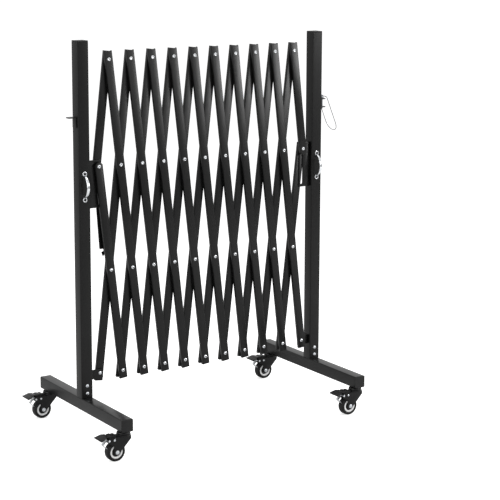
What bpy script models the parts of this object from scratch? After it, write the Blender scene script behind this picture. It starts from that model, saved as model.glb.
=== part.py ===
"""Expandable safety barrier: a scissor lattice between two posts on castored feet.

Metres, +Z up, +X along the lattice, +Y to the back. The origin is on the floor under the
middle of the object's bounding box. The lattice stands in a nearly folded pose.
"""

import math

import bmesh
import bpy
from mathutils import Matrix, Vector

# Clearances and shared counts
GAP = 0.0003
OVERRUN = 0.01
ARC_STEPS = 6
CORNER_STEPS = 3
RIVET_SIDES = 10
TURNED_SIDES = 12
WHEEL_SIDES = 20
SMOOTH_ANGLE = math.radians(35)

# Posts and feet, in square tube
TUBE = 0.038
TUBE_WALL = 0.0015
TOTAL_HEIGHT = 1.225
FOOT_LENGTH = 0.55
END_CAP = 0.003
SPIGOT_HEIGHT = 0.07
SPIGOT_WALL = 0.002
POST_CAP_HEIGHT = 0.0035
POST_CAP_PLUG = 0.012
BOLT_RADIUS = 0.004
BOLT_HEAD_RADIUS = 0.0055
BOLT_HEAD_HEIGHT = 0.003
BOLT_HEIGHTS = (0.143, 0.167)

# Lattice: rows are counted from the top, columns from the left
ROWS = 4
COLUMNS = 20
HOLE_PITCH = 0.325
REST_TILT = math.radians(6.63)
OPEN_TILT = math.radians(35)
HOOK_PITCH = 0.264
BOTTOM_ROW_HEIGHT = 0.1975
PIVOT_REACH = 0.0325
SLAT_WIDTH = 0.026
SLAT_DEPTH = 0.01
SLAT_SHEET = 0.0015
SLAT_END = 0.025
ROUND_END = 0.013
LONG_ROUND_END = 0.02
SLAT_SETBACK = 0.002

# Rivets and pivot pins
HEAD_RADIUS = 0.0055
HEAD_HEIGHT = 0.0022
HEAD_CROWN_SHARE = 0.55
SHOULDER_RADIUS = 0.004
SHANK_RADIUS = 0.00275
TAIL_RADIUS = 0.005
TAIL_HEIGHT = 0.002
HOOK_PIN_TAIL_RADIUS = 0.0055

# Angle brackets on the posts
BRACKET_SHEET = 0.0025
BRACKET_REACH = 0.0425
BRACKET_BACK = 0.017
SLOT_BRACKET_TOP = 0.02
SLOT_MARGIN = 0.009
SLOT_PLAY = 0.0005
PIVOT_BRACKET_UP = 0.013
PIVOT_BRACKET_DOWN = 0.017

# Hook that holds the folded lattice
HOOK_WIDTH = 0.019
HOOK_SHEET = 0.002
HOOK_TILT = math.radians(4.2)
HOOK_TIP = 0.021
HOOK_CORNER = 0.004
HOOK_PRONG = 0.006
HOOK_PRONG_THICKNESS = 0.0025

# Pull handles
HANDLE_SCREW_PITCH = 0.079
HANDLE_CENTRE_HEIGHT = 0.786
HANDLE_FOOT_RADIUS = 0.0075
HANDLE_FOOT_HEIGHT = 0.003
HANDLE_WIDTH = 0.009
HANDLE_THICKNESS = 0.0045
HANDLE_BOW = 0.027

# Coupling between two barriers: tongue, clevis, lock pin and pull ring
COUPLING_WIDTH = 0.024
COUPLING_SHEET = 0.003
COUPLING_PIN_OUT = 0.0135
TONGUE_LENGTH = 0.0265
TONGUE_TOP_HEIGHT = 0.997
TONGUE_PLATE_DROP = 0.032
TONGUE_HOLE_RADIUS = 0.0035
CLEVIS_LENGTH = 0.0225
CLEVIS_TOP_HEIGHT = 1.0035
CLEVIS_DEPTH = 0.0295
PIN_RADIUS = 0.003
PIN_BELOW = 0.006
PIN_HEAD_RADIUS = 0.006
PIN_HEAD_HEIGHT = 0.003
PIN_EYE_RADIUS = 0.0045
PIN_EYE_HEIGHT = 0.0085
WIRE_RADIUS = 0.0011
WIRE_HOLE_PLAY = 0.0004
RING_HALF_WIDTH = 0.027
RING_LENGTH = 0.125
RING_CORNER = 0.006
RING_TILT = math.radians(22.5)
RING_SIDE_STEPS = 4
WIRE_RESOLUTION = 1

# Casters
CASTER_HEIGHT = 0.09
CASTER_INSET = 0.027
WHEEL_RADIUS = 0.03
WHEEL_TRAIL = 0.029
TYRE_WIDTH = 0.026
TYRE_INNER_RADIUS = 0.021
TYRE_SHOULDER = 0.002
TYRE_CROWN_WIDTH = 0.019
HUB_WIDTH = 0.0276
HUB_RADIUS = 0.008
DISC_RADIUS = 0.0155
DISC_WIDTH = 0.015
AXLE_RADIUS = 0.003
AXLE_HEAD_RADIUS = 0.0062
AXLE_HEAD_HEIGHT = 0.0035
STEM_RADIUS = 0.0047
STEM_LENGTH = 0.022
COLLAR_RADIUS = 0.011
COLLAR_HEIGHT = 0.0035
RACE_RADIUS = 0.021
RACE_HEIGHT = 0.006
RACE_TAPER = 0.003
KINGPIN_RADIUS = 0.004
KINGPIN_FLANGE_RADIUS = 0.007
KINGPIN_FLANGE_HEIGHT = 0.0025
CROWN_RADIUS = 0.022
CROWN_HEIGHT = 0.006
CROWN_WEB_REACH = 0.0245
CHEEK_INSIDE = 0.0141
CHEEK_SHEET = 0.0024
CHEEK_PIN_RADIUS = 0.0025
CHEEK_PIN_HEIGHT = 0.068
CHEEK_BOSS_RADIUS = 0.009

# Corners of a fork cheek from the crown round to the tail, as shares of the wheel's trail
# along X and of the crown's underside height along Z
CHEEK_FRONT_SHARES = ((0.61, 1.03), (0.61, 0.89))
CHEEK_TAIL_SHARES = ((-1.37, 0.69), (-1.97, 0.81), (-2.12, 0.94), (-1.98, 1.03))

# Brake pedal: a low heel by the stem, a flat neck and a wide tip that slopes down
PEDAL_PIVOT_BACK = 0.0375
PEDAL_STOP_BACK = 0.055
PEDAL_HUB_RADIUS = 0.006
PEDAL_NECK_WIDTH = 0.0268
PEDAL_TIP_WIDTH = 0.047
PEDAL_REACH = 0.086
PEDAL_SHEET = 0.004
PEDAL_TOP_HEIGHT = 0.0825
PEDAL_TIP_HEIGHT = 0.0765
PEDAL_HEEL_REACH = 0.0265
PEDAL_HEEL_HEIGHT = 0.0815
SHOE_WIDTH = 0.014
SHOE_SHEET = 0.0018
SHOE_KNEE_REACH = 0.071
SHOE_KNEE_HEIGHT = 0.054
SHOE_CLEARANCE = 0.0006
SHOE_CONTACT_ANGLE = math.radians(22)

# Places along the pedal from the stem, as shares of its reach: the flat neck's two ends,
# and where the neck starts to widen and has its full width
PEDAL_FLAT_SHARES = (0.38, 0.78)
PEDAL_WIDENING_SHARES = (0.74, 0.86)

# Sizes that follow from the ones above
FOOT_BASE = CASTER_HEIGHT
FOOT_TOP = FOOT_BASE + TUBE
POST_BASE = FOOT_TOP + GAP
POST_TOP = TOTAL_HEIGHT - POST_CAP_HEIGHT - GAP
COLUMN_PITCH = HOLE_PITCH * math.sin(REST_TILT)
ROW_PITCH = HOLE_PITCH * math.cos(REST_TILT)
POST_PITCH = COLUMNS * COLUMN_PITCH + 2 * PIVOT_REACH + TUBE
LEFT_EXTENT = POST_PITCH / 2 + PEDAL_REACH
RING_SPREAD = RING_LENGTH * math.sin(RING_TILT) + WIRE_RADIUS
RIGHT_EXTENT = (POST_PITCH + TUBE) / 2 + COUPLING_PIN_OUT + RING_SPREAD
MIDDLE_X = (LEFT_EXTENT - RIGHT_EXTENT) / 2
LEFT_POST_X = MIDDLE_X - POST_PITCH / 2
RIGHT_POST_X = MIDDLE_X + POST_PITCH / 2
FIRST_COLUMN_X = LEFT_POST_X + TUBE / 2 + PIVOT_REACH
FRONT_WEB_Y = SLAT_SETBACK - TUBE / 2
FRONT_BACK_Y = FRONT_WEB_Y + SLAT_DEPTH
PLATE_FRONT_Y = FRONT_BACK_Y + GAP
PLATE_BACK_Y = PLATE_FRONT_Y + BRACKET_SHEET
REAR_WEB_Y = PLATE_BACK_Y + GAP
REAR_BACK_Y = REAR_WEB_Y + SLAT_DEPTH
HOOK_FRONT_Y = REAR_BACK_Y + GAP
HOOK_BACK_Y = HOOK_FRONT_Y + HOOK_SHEET
SHANK_END_Y = REAR_WEB_Y + SLAT_SHEET + GAP
HOLE_RADIUS = SHANK_RADIUS + GAP
SLOT_RADIUS = SHOULDER_RADIUS + GAP
CLOSED_TILT = math.asin(HOOK_PITCH / (COLUMNS * HOLE_PITCH))
CROWN_BASE = FOOT_BASE - GAP - COLLAR_HEIGHT - RACE_HEIGHT - GAP - CROWN_HEIGHT


def clear_scene():
    """Removes whatever the opened file holds."""
    for item in list(bpy.data.objects):
        bpy.data.objects.remove(item)


def finish(name, colour, roughness, metallic):
    """Returns a Principled material."""
    material = bpy.data.materials.new(name)
    material.use_nodes = True
    shader = material.node_tree.nodes["Principled BSDF"]
    shader.inputs["Base Color"].default_value = (*colour, 1)
    shader.inputs["Roughness"].default_value = roughness
    shader.inputs["Metallic"].default_value = metallic
    return material


def solid(shape):
    """Turns a bmesh into a linked object with its faces pointing out."""
    bmesh.ops.recalc_face_normals(shape, faces=shape.faces)
    mesh = bpy.data.meshes.new("solid")
    shape.to_mesh(mesh)
    shape.free()
    item = bpy.data.objects.new("solid", mesh)
    bpy.context.collection.objects.link(item)
    return item


def box(low, high):
    """Returns a box between two corners."""
    shape = bmesh.new()
    low, high = Vector(low), Vector(high)
    place = Matrix.Translation((low + high) / 2) @ Matrix.Diagonal((*(high - low), 1))
    bmesh.ops.create_cube(shape, size=1, matrix=place)
    return solid(shape)


def prism(outline, axis, low, high):
    """Returns the outline extruded along an axis: (x, z) points along Y, (x, y) along Z."""
    shape = bmesh.new()
    place = {
        "X": lambda a, b, c: (c, a, b),
        "Y": lambda a, b, c: (a, c, b),
        "Z": lambda a, b, c: (a, b, c),
    }[axis]
    face = shape.faces.new([shape.verts.new(place(a, b, low)) for a, b in outline])
    moved = bmesh.ops.extrude_face_region(shape, geom=[face])
    verts = [v for v in moved["geom"] if isinstance(v, bmesh.types.BMVert)]
    bmesh.ops.translate(shape, verts=verts, vec=place(0, 0, high - low))
    return solid(shape)


def turned(profile, axis, centre, sides):
    """Returns the (radius, distance) profile turned about an axis through the centre."""
    shape = bmesh.new()
    verts = [shape.verts.new((radius, 0, along)) for radius, along in profile]
    edges = [shape.edges.new(pair) for pair in zip(verts, verts[1:])]
    if profile[0][0] > 0:
        edges.append(shape.edges.new((verts[-1], verts[0])))
    bmesh.ops.spin(
        shape, geom=verts + edges, cent=(0, 0, 0), axis=(0, 0, 1),
        angle=2 * math.pi, steps=sides, use_merge=True,
    )
    bmesh.ops.remove_doubles(shape, verts=shape.verts, dist=GAP / 100)
    if axis == "Y":
        bmesh.ops.rotate(shape, verts=shape.verts, matrix=Matrix.Rotation(-math.pi / 2, 3, "X"))
    bmesh.ops.translate(shape, verts=shape.verts, vec=centre)
    return solid(shape)


def rod(radius, axis, centre, low, high, sides):
    """Returns a cylinder about an axis, from low to high along it."""
    return turned(((0, low), (radius, low), (radius, high), (0, high)), axis, centre, sides)


def combined(base, others, operation):
    """Returns the base after one Boolean with each of the others, which are used up."""
    for other in others:
        modifier = base.modifiers.new("Boolean", "BOOLEAN")
        modifier.operation = operation
        modifier.solver = "EXACT"
        modifier.object = other
    graph = bpy.context.evaluated_depsgraph_get()
    mesh = bpy.data.meshes.new_from_object(base.evaluated_get(graph))
    base.modifiers.clear()
    base.data = mesh
    for other in others:
        bpy.data.objects.remove(other)
    return base


def joined(base, others):
    """Returns the union of the base and the others."""
    return combined(base, others, "UNION")


def cut(base, others):
    """Returns the base less the others."""
    return combined(base, others, "DIFFERENCE")


def arc(centre, radius, start, end, steps=ARC_STEPS):
    """Returns points on an arc, with both ends."""
    turn = (end - start) / steps
    angles = [start + turn * i for i in range(steps + 1)]
    return [
        (centre[0] + radius * math.cos(angle), centre[1] + radius * math.sin(angle))
        for angle in angles
    ]


def pivot(name, place, parent=None):
    """Returns an empty on a joint's axis, under its parent empty."""
    empty = bpy.data.objects.new(name, None)
    bpy.context.collection.objects.link(empty)
    empty["place"] = tuple(place)
    origin = Vector(parent["place"]) if parent else Vector()
    empty.parent = parent
    empty.location = Vector(place) - origin
    return empty


def named(name, mesh, material, parent=None, place=(0, 0, 0), turn=0):
    """Returns an object at a place, turned about Y, under a parent empty."""
    item = bpy.data.objects.new(name, mesh)
    bpy.context.collection.objects.link(item)
    origin = Vector(parent["place"]) if parent else Vector()
    item.parent = parent
    item.location = Vector(place) - origin
    item.rotation_euler = (0, turn, 0)
    mesh.materials.clear()
    mesh.materials.append(material)
    mesh.shade_smooth()
    mesh.set_sharp_from_angle(angle=SMOOTH_ANGLE)
    return item


def taken(item):
    """Returns a working object's mesh and removes the object."""
    mesh = item.data
    bpy.data.objects.remove(item)
    return mesh


def column_x(column):
    """Returns a column's place along X."""
    return FIRST_COLUMN_X + column * COLUMN_PITCH


def row_z(row):
    """Returns a row's height; row 1 is the top one."""
    return BOTTOM_ROW_HEIGHT + (ROWS - row) * ROW_PITCH


def crossing(column, row):
    """Returns the lattice point of a column and row, in the posts' middle plane."""
    return (column_x(column), 0, row_z(row))


def pin_profile(stages, front, tail_radius, tail_height):
    """Returns a headed pin's profile: (radius, end) stages behind the sheet, then a tail."""
    sheet_middle = front + SLAT_SHEET / 2
    profile = [
        (0, front - HEAD_HEIGHT),
        (HEAD_RADIUS * HEAD_CROWN_SHARE, front - HEAD_HEIGHT),
        (HEAD_RADIUS, sheet_middle),
    ]
    along = sheet_middle
    for radius, end in stages:
        profile += [(radius, along), (radius, end)]
        along = end
    profile += [(tail_radius, along), (tail_radius, along + tail_height), (0, along + tail_height)]
    return profile


def rivet_stages():
    """Returns the shoulder and shank of a plain lattice rivet."""
    return [(SHOULDER_RADIUS, PLATE_BACK_Y), (SHANK_RADIUS, SHANK_END_Y)]


def channel(length, above):
    """Returns a U channel along Z, web to the front, from above the first hole downwards."""
    half = SLAT_WIDTH / 2
    inner = half - SLAT_SHEET
    section = (
        (-half, 0), (half, 0), (half, SLAT_DEPTH), (inner, SLAT_DEPTH),
        (inner, SLAT_SHEET), (-inner, SLAT_SHEET), (-inner, SLAT_DEPTH), (-half, SLAT_DEPTH),
    )
    return prism(section, "Z", above - length, above)


def end_cutter(height, direction):
    """Returns the cutter that leaves a half-round end at a height."""
    half = SLAT_WIDTH / 2
    wide = half + OVERRUN
    far = height + direction * (half + OVERRUN)
    end = 0 if direction > 0 else 2 * math.pi
    outline = arc((0, height), half, math.pi, end)
    outline += [(wide, height), (wide, far), (-wide, far), (-wide, height)]
    return prism(outline, "Y", -OVERRUN, SLAT_DEPTH + OVERRUN)


def slat_blank(holes, top_end, bottom_end, web_y, round_top=False, round_bottom=False):
    """Returns a slat without holes, its first hole at the origin."""
    span = (holes - 1) * HOLE_PITCH
    item = channel(span + top_end + bottom_end, top_end)
    cutters = []
    if round_top:
        cutters.append(end_cutter(top_end - SLAT_WIDTH / 2, 1))
    if round_bottom:
        cutters.append(end_cutter(-span - bottom_end + SLAT_WIDTH / 2, -1))
    if cutters:
        item = cut(item, cutters)
    item.data.transform(Matrix.Translation((0, web_y, 0)))
    return item


def front_slat_mesh(pins, top_end=SLAT_END, bottom_end=SLAT_END, **ends):
    """Returns a front slat with one pin profile per hole, peened into its web."""
    item = slat_blank(len(pins), top_end, bottom_end, FRONT_WEB_Y, **ends)
    parts = [
        turned(profile, "Y", (0, 0, -index * HOLE_PITCH), RIVET_SIDES)
        for index, profile in enumerate(pins)
    ]
    return taken(joined(item, parts))


def rear_slat_mesh(holes, top_end=SLAT_END, bottom_end=SLAT_END):
    """Returns a rear slat with clearance holes in its web."""
    item = slat_blank(holes, top_end, bottom_end, REAR_WEB_Y)
    ends = (REAR_WEB_Y - OVERRUN, REAR_WEB_Y + OVERRUN)
    drills = [
        rod(HOLE_RADIUS, "Y", (0, 0, -index * HOLE_PITCH), *ends, RIVET_SIDES)
        for index in range(holes)
    ]
    return taken(cut(item, drills))


def build_lattice(coat, root):
    """Makes the 22 slats, each under the empty on its hinge, and returns the empties."""
    rivet = pin_profile(rivet_stages(), FRONT_WEB_Y, TAIL_RADIUS, TAIL_HEIGHT)
    hook_pin = pin_profile(
        rivet_stages() + [(SHOULDER_RADIUS, REAR_BACK_Y), (SHANK_RADIUS, HOOK_BACK_Y + GAP)],
        FRONT_WEB_Y, HOOK_PIN_TAIL_RADIUS, TAIL_HEIGHT,
    )
    catch_pin = pin_profile(
        rivet_stages() + [(SHOULDER_RADIUS, HOOK_BACK_Y + GAP)],
        FRONT_WEB_Y, HOOK_PIN_TAIL_RADIUS, TAIL_HEIGHT,
    )
    bracket_pin = pin_profile(
        [(SHOULDER_RADIUS, PLATE_BACK_Y + GAP)], FRONT_WEB_Y, HEAD_RADIUS, TAIL_HEIGHT,
    )
    full_front = front_slat_mesh([rivet] * ROWS)
    front_meshes = {
        -1: front_slat_mesh([hook_pin, rivet, rivet], top_end=ROUND_END, round_top=True),
        COLUMNS - 3: front_slat_mesh([rivet, rivet, rivet, bracket_pin]),
        COLUMNS - 1: front_slat_mesh(
            [rivet, catch_pin], bottom_end=LONG_ROUND_END, round_bottom=True,
        ),
    }
    full_rear = rear_slat_mesh(ROWS)
    rear_meshes = {
        1: rear_slat_mesh(2, bottom_end=LONG_ROUND_END),
        COLUMNS + 1: rear_slat_mesh(ROWS - 1, top_end=LONG_ROUND_END),
    }
    hinges = {}
    # Each entry is a slat's layer and top column, then its parent's, with the hinge's row
    chain = (
        (("rear", 3), None, 4),
        (("front", -1), ("rear", 3), 3), (("front", 1), ("rear", 3), 2),
        (("front", 3), ("rear", 3), 1),
        (("rear", 1), ("front", -1), 2), (("rear", 5), ("front", 3), 2),
        (("rear", 7), ("front", 3), 3), (("rear", 9), ("front", 3), 4),
        (("front", 5), ("rear", 9), 3), (("front", 7), ("rear", 9), 2),
        (("front", 9), ("rear", 9), 1),
        (("rear", 11), ("front", 9), 2), (("rear", 13), ("front", 9), 3),
        (("rear", 15), ("front", 9), 4),
        (("front", 11), ("rear", 15), 3), (("front", 13), ("rear", 15), 2),
        (("front", 15), ("rear", 15), 1),
        (("rear", 17), ("front", 15), 2), (("rear", 19), ("front", 15), 3),
        (("rear", 21), ("front", 15), 4),
        (("front", 17), ("rear", 21), 3), (("front", 19), ("rear", 21), 2),
    )
    for (layer, top), parent, row in chain:
        lean = 1 if layer == "front" else -1
        number = (top + 3) // 2 if layer == "front" else (top + 1) // 2
        name = f"{layer}_slat_{number:02d}"
        meshes = front_meshes if layer == "front" else rear_meshes
        full = full_front if layer == "front" else full_rear
        place = crossing(top + lean * (row - 1), row)
        hinge = pivot(f"{name}_hinge", place, hinges.get(parent, root))
        hinges[(layer, top)] = hinge
        first_row = 2 if (layer, top) in (("front", -1), ("rear", COLUMNS + 1)) else 1
        first_column = top + lean * (first_row - 1)
        named(
            name, meshes.get(top, full), coat, hinge,
            crossing(first_column, first_row), -lean * REST_TILT,
        )
    return hinges


def build_post(side, x, coat, plastic, root):
    """Makes a square post with its bolt holes, and its top cap."""
    half = TUBE / 2
    inner = half - TUBE_WALL
    item = box((x - half, -half, POST_BASE), (x + half, half, POST_TOP))
    bore = box((x - inner, -inner, POST_BASE - OVERRUN), (x + inner, inner, POST_TOP + OVERRUN))
    drills = [
        rod(BOLT_RADIUS + GAP, "Y", (x, 0, height), -half - OVERRUN, half + OVERRUN, RIVET_SIDES)
        for height in BOLT_HEIGHTS
    ]
    named(f"{side}_post", taken(cut(item, [bore] + drills)), coat, root)
    plug = inner - GAP
    cap = box((x - half, -half, TOTAL_HEIGHT - POST_CAP_HEIGHT), (x + half, half, TOTAL_HEIGHT))
    stub = box(
        (x - plug, -plug, POST_TOP - POST_CAP_PLUG),
        (x + plug, plug, TOTAL_HEIGHT - POST_CAP_HEIGHT / 2),
    )
    named(f"{side}_post_cap", taken(joined(cap, [stub])), plastic, root)


def build_foot(side, x, coat, root):
    """Makes a foot: a capped square tube, the spigot inside the post and its cross bolts."""
    half = TUBE / 2
    inner = half - TUBE_WALL
    reach = FOOT_LENGTH / 2
    item = box((x - half, -reach, FOOT_BASE), (x + half, reach, FOOT_TOP))
    hollow = box(
        (x - inner, END_CAP - reach, FOOT_BASE + TUBE_WALL),
        (x + inner, reach - END_CAP, FOOT_TOP - TUBE_WALL),
    )
    drilled = (FOOT_BASE - OVERRUN, FOOT_BASE + OVERRUN)
    stems = [
        rod(STEM_RADIUS + GAP, "Z", (x, y, 0), *drilled, TURNED_SIDES)
        for y in (CASTER_INSET - reach, reach - CASTER_INSET)
    ]
    item = cut(item, [hollow] + stems)
    spigot = inner - GAP
    spigot_top = FOOT_TOP + SPIGOT_HEIGHT
    stub = box((x - spigot, -spigot, FOOT_TOP - TUBE_WALL / 2), (x + spigot, spigot, spigot_top))
    well = spigot - SPIGOT_WALL
    floor, mouth = FOOT_TOP + TUBE_WALL, spigot_top + OVERRUN
    stub = cut(stub, [box((x - well, -well, floor), (x + well, well, mouth))])
    head_start = half + GAP
    head_end = head_start + BOLT_HEAD_HEIGHT
    bolts = [
        turned(
            (
                (0, -head_end), (BOLT_HEAD_RADIUS, -head_end),
                (BOLT_HEAD_RADIUS, -head_start), (BOLT_RADIUS, -head_start),
                (BOLT_RADIUS, head_start), (BOLT_HEAD_RADIUS, head_start),
                (BOLT_HEAD_RADIUS, head_end), (0, head_end),
            ),
            "Y", (x, 0, height), RIVET_SIDES,
        )
        for height in BOLT_HEIGHTS
    ]
    named(f"{side}_foot", taken(joined(item, [stub] + bolts)), coat, root)


def angle_bracket(x, side, low, high):
    """Returns an angle: a leg on the post's inner face and a plate between the slat layers."""
    face = x + side * (TUBE / 2 + GAP)
    leg_end = face + side * BRACKET_SHEET
    tip = x + side * (TUBE / 2 + BRACKET_REACH)
    outline = (
        (face, PLATE_FRONT_Y), (tip, PLATE_FRONT_Y), (tip, PLATE_BACK_Y),
        (leg_end, PLATE_BACK_Y), (leg_end, BRACKET_BACK), (face, BRACKET_BACK),
    )
    return prism(outline, "Z", low, high)


def build_slot_bracket(name, x, side, coat, root):
    """Makes the slotted angle that the second row's end pin slides in."""
    pin_x = x + side * (TUBE / 2 + PIVOT_REACH)
    rows_between = 2 * HOLE_PITCH
    slot_top = BOTTOM_ROW_HEIGHT + rows_between * math.cos(CLOSED_TILT) + SLOT_PLAY
    slot_bottom = BOTTOM_ROW_HEIGHT + rows_between * math.cos(OPEN_TILT) - SLOT_PLAY
    low = slot_bottom - SLOT_RADIUS - SLOT_MARGIN
    item = angle_bracket(x, side, low, row_z(2) + SLOT_BRACKET_TOP)
    outline = arc((pin_x, slot_top), SLOT_RADIUS, 0, math.pi)
    outline += arc((pin_x, slot_bottom), SLOT_RADIUS, math.pi, 2 * math.pi)
    slot = prism(outline, "Y", PLATE_FRONT_Y - GAP, PLATE_BACK_Y + GAP)
    named(name, taken(cut(item, [slot])), coat, root)


def build_pivot_bracket(name, x, side, coat, root):
    """Makes the lower angle: the left one carries its own pin, the right one takes a slat's."""
    place = (x + side * (TUBE / 2 + PIVOT_REACH), 0, BOTTOM_ROW_HEIGHT)
    low = BOTTOM_ROW_HEIGHT - PIVOT_BRACKET_DOWN
    item = angle_bracket(x, side, low, BOTTOM_ROW_HEIGHT + PIVOT_BRACKET_UP)
    if side > 0:
        stages = [(SHANK_RADIUS, SHANK_END_Y)]
        profile = pin_profile(stages, PLATE_FRONT_Y, TAIL_RADIUS, TAIL_HEIGHT)
        item = joined(item, [turned(profile, "Y", place, RIVET_SIDES)])
    else:
        drill = rod(SLOT_RADIUS, "Y", place, PLATE_FRONT_Y - GAP, PLATE_BACK_Y + GAP, RIVET_SIDES)
        item = cut(item, [drill])
    named(name, taken(item), coat, root)


def build_fold_hook(zinc, parent):
    """Makes the flat hook that hangs on the left slot pin and catches the right one."""
    half = HOOK_WIDTH / 2
    notch = HOOK_PITCH
    top_edge = SLOT_RADIUS - notch
    low_edge = -SLOT_RADIUS - notch
    tip = -notch - HOOK_TIP
    prong = HOOK_PRONG - half
    outline = arc((0, 0), half, 0, math.pi)
    corner = (HOOK_CORNER - half, top_edge + HOOK_CORNER)
    outline += arc(corner, HOOK_CORNER, math.pi, 1.5 * math.pi, CORNER_STEPS)
    outline += arc((0, -notch), SLOT_RADIUS, math.pi / 2, -math.pi / 2)
    outline += [(prong, low_edge), (prong, low_edge - HOOK_PRONG_THICKNESS)]
    outline += [(0, tip), (half, tip + HOOK_TIP / 2)]
    item = prism(outline, "Y", HOOK_FRONT_Y, HOOK_BACK_Y)
    drill = rod(HOLE_RADIUS, "Y", (0, 0, 0), HOOK_FRONT_Y - GAP, HOOK_BACK_Y + GAP, RIVET_SIDES)
    place = crossing(0, 2)
    hinge = pivot("fold_hook_hinge", place, parent)
    named("fold_hook", taken(cut(item, [drill])), zinc, hinge, place, -HOOK_TILT)


def build_handle(side, x, chrome, root):
    """Makes an arched pull handle on the post's front face."""
    face = -TUBE / 2 - GAP
    half = HANDLE_SCREW_PITCH / 2
    rise = HANDLE_BOW - HANDLE_THICKNESS
    foot_y = face - HANDLE_FOOT_HEIGHT / 2
    steps = 2 * ARC_STEPS

    def bow(depth, spread):
        """Returns one edge of the arch, from the lower foot to the upper one."""
        shares = [i / steps for i in range(steps + 1)]
        return [
            (foot_y - depth * math.sin(math.pi * share),
             HANDLE_CENTRE_HEIGHT + spread * (2 * share - 1))
            for share in shares
        ]

    outline = bow(rise + HANDLE_THICKNESS, half + HANDLE_THICKNESS / 2)
    outline += reversed(bow(rise, half - HANDLE_THICKNESS / 2))
    arch = prism(outline, "X", x - HANDLE_WIDTH / 2, x + HANDLE_WIDTH / 2)
    feet = [
        rod(HANDLE_FOOT_RADIUS, "Y", (x, 0, HANDLE_CENTRE_HEIGHT + end * half),
            face - HANDLE_FOOT_HEIGHT, face, TURNED_SIDES)
        for end in (-1, 1)
    ]
    named(f"{side}_pull_handle", taken(joined(arch, feet)), chrome, root)


def build_tongue(x, coat, root):
    """Makes the drilled tab that enters the next barrier's clevis."""
    face = x - TUBE / 2 - GAP
    half = COUPLING_WIDTH / 2
    sheet = COUPLING_SHEET
    tip = face - TONGUE_LENGTH
    top, base = TONGUE_TOP_HEIGHT, TONGUE_TOP_HEIGHT - TONGUE_PLATE_DROP
    outline = (
        (face, top), (tip, top), (tip, top - sheet), (face - sheet, top - sheet),
        (face - sheet, base), (face, base),
    )
    hole = rod(
        TONGUE_HOLE_RADIUS, "Z", (face - COUPLING_PIN_OUT, 0, TONGUE_TOP_HEIGHT),
        -sheet - GAP, GAP, RIVET_SIDES,
    )
    item = cut(prism(outline, "Y", -half, half), [hole])
    named("coupling_tongue", taken(item), coat, root)


def build_clevis(x, coat, root):
    """Makes the two-eared bracket on the right post's outer face."""
    face = x + TUBE / 2 + GAP
    half = COUPLING_WIDTH / 2
    tip = face + CLEVIS_LENGTH
    inner = face + COUPLING_SHEET
    top, base = CLEVIS_TOP_HEIGHT, CLEVIS_TOP_HEIGHT - CLEVIS_DEPTH
    outline = (
        (face, top), (face, base), (tip, base), (tip, base + COUPLING_SHEET),
        (inner, base + COUPLING_SHEET), (inner, top - COUPLING_SHEET),
        (tip, top - COUPLING_SHEET), (tip, top),
    )
    pin_x = x + TUBE / 2 + COUPLING_PIN_OUT
    hole = rod(PIN_RADIUS + GAP, "Z", (pin_x, 0, 0), base - GAP, top + GAP, RIVET_SIDES)
    named("coupling_clevis", taken(cut(prism(outline, "Y", -half, half), [hole])), coat, root)


def build_lock_pin(x, zinc, root):
    """Makes the headed pin in the clevis, with its cross-drilled eye, and its pull ring."""
    pin_x = x + TUBE / 2 + COUPLING_PIN_OUT
    seat = CLEVIS_TOP_HEIGHT + GAP
    shoulder = seat + PIN_HEAD_HEIGHT
    top = shoulder + PIN_EYE_HEIGHT
    foot = CLEVIS_TOP_HEIGHT - CLEVIS_DEPTH - PIN_BELOW
    profile = (
        (0, foot), (PIN_RADIUS, foot), (PIN_RADIUS, seat), (PIN_HEAD_RADIUS, seat),
        (PIN_HEAD_RADIUS, shoulder), (PIN_EYE_RADIUS, shoulder), (PIN_EYE_RADIUS, top), (0, top),
    )
    item = turned(profile, "Z", (pin_x, 0, 0), TURNED_SIDES)
    eye = (pin_x, 0, (shoulder + top) / 2)
    drill = rod(WIRE_RADIUS + WIRE_HOLE_PLAY, "Y", eye, -OVERRUN, OVERRUN, RIVET_SIDES)
    slide = pivot("lock_pin_slide", (pin_x, 0, seat), root)
    named("lock_pin", taken(cut(item, [drill])), zinc, slide)
    data = bpy.data.curves.new("pull_ring", "CURVE")
    data.dimensions = "3D"
    data.bevel_depth = WIRE_RADIUS
    data.bevel_resolution = WIRE_RESOLUTION
    points = ring_points()
    spline = data.splines.new("POLY")
    spline.points.add(len(points) - 1)
    for point, (across, along) in zip(spline.points, points):
        point.co = (along * math.sin(RING_TILT), across, -along * math.cos(RING_TILT), 1)
    spline.use_cyclic_u = True
    data.materials.append(zinc)
    hinge = pivot("pull_ring_hinge", eye, slide)
    item = bpy.data.objects.new("pull_ring", data)
    bpy.context.collection.objects.link(item)
    item.parent = hinge


def ring_points():
    """Returns the ring's centre line: a bar through the eye, two legs and a round end."""
    half = RING_HALF_WIDTH
    corner = RING_CORNER
    straight = RING_LENGTH - half
    right = arc((half - corner, corner), corner, -math.pi / 2, 0, CORNER_STEPS)
    round_end = arc((0, straight), half, 0, math.pi, 2 * ARC_STEPS)
    left = arc((corner - half, corner), corner, math.pi, 1.5 * math.pi, CORNER_STEPS)
    legs = [corner + (straight - corner) * i / RING_SIDE_STEPS for i in range(1, RING_SIDE_STEPS)]
    return (
        [(0, 0)] + right + [(half, along) for along in legs] + round_end
        + [(-half, along) for along in reversed(legs)] + left
    )


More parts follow.
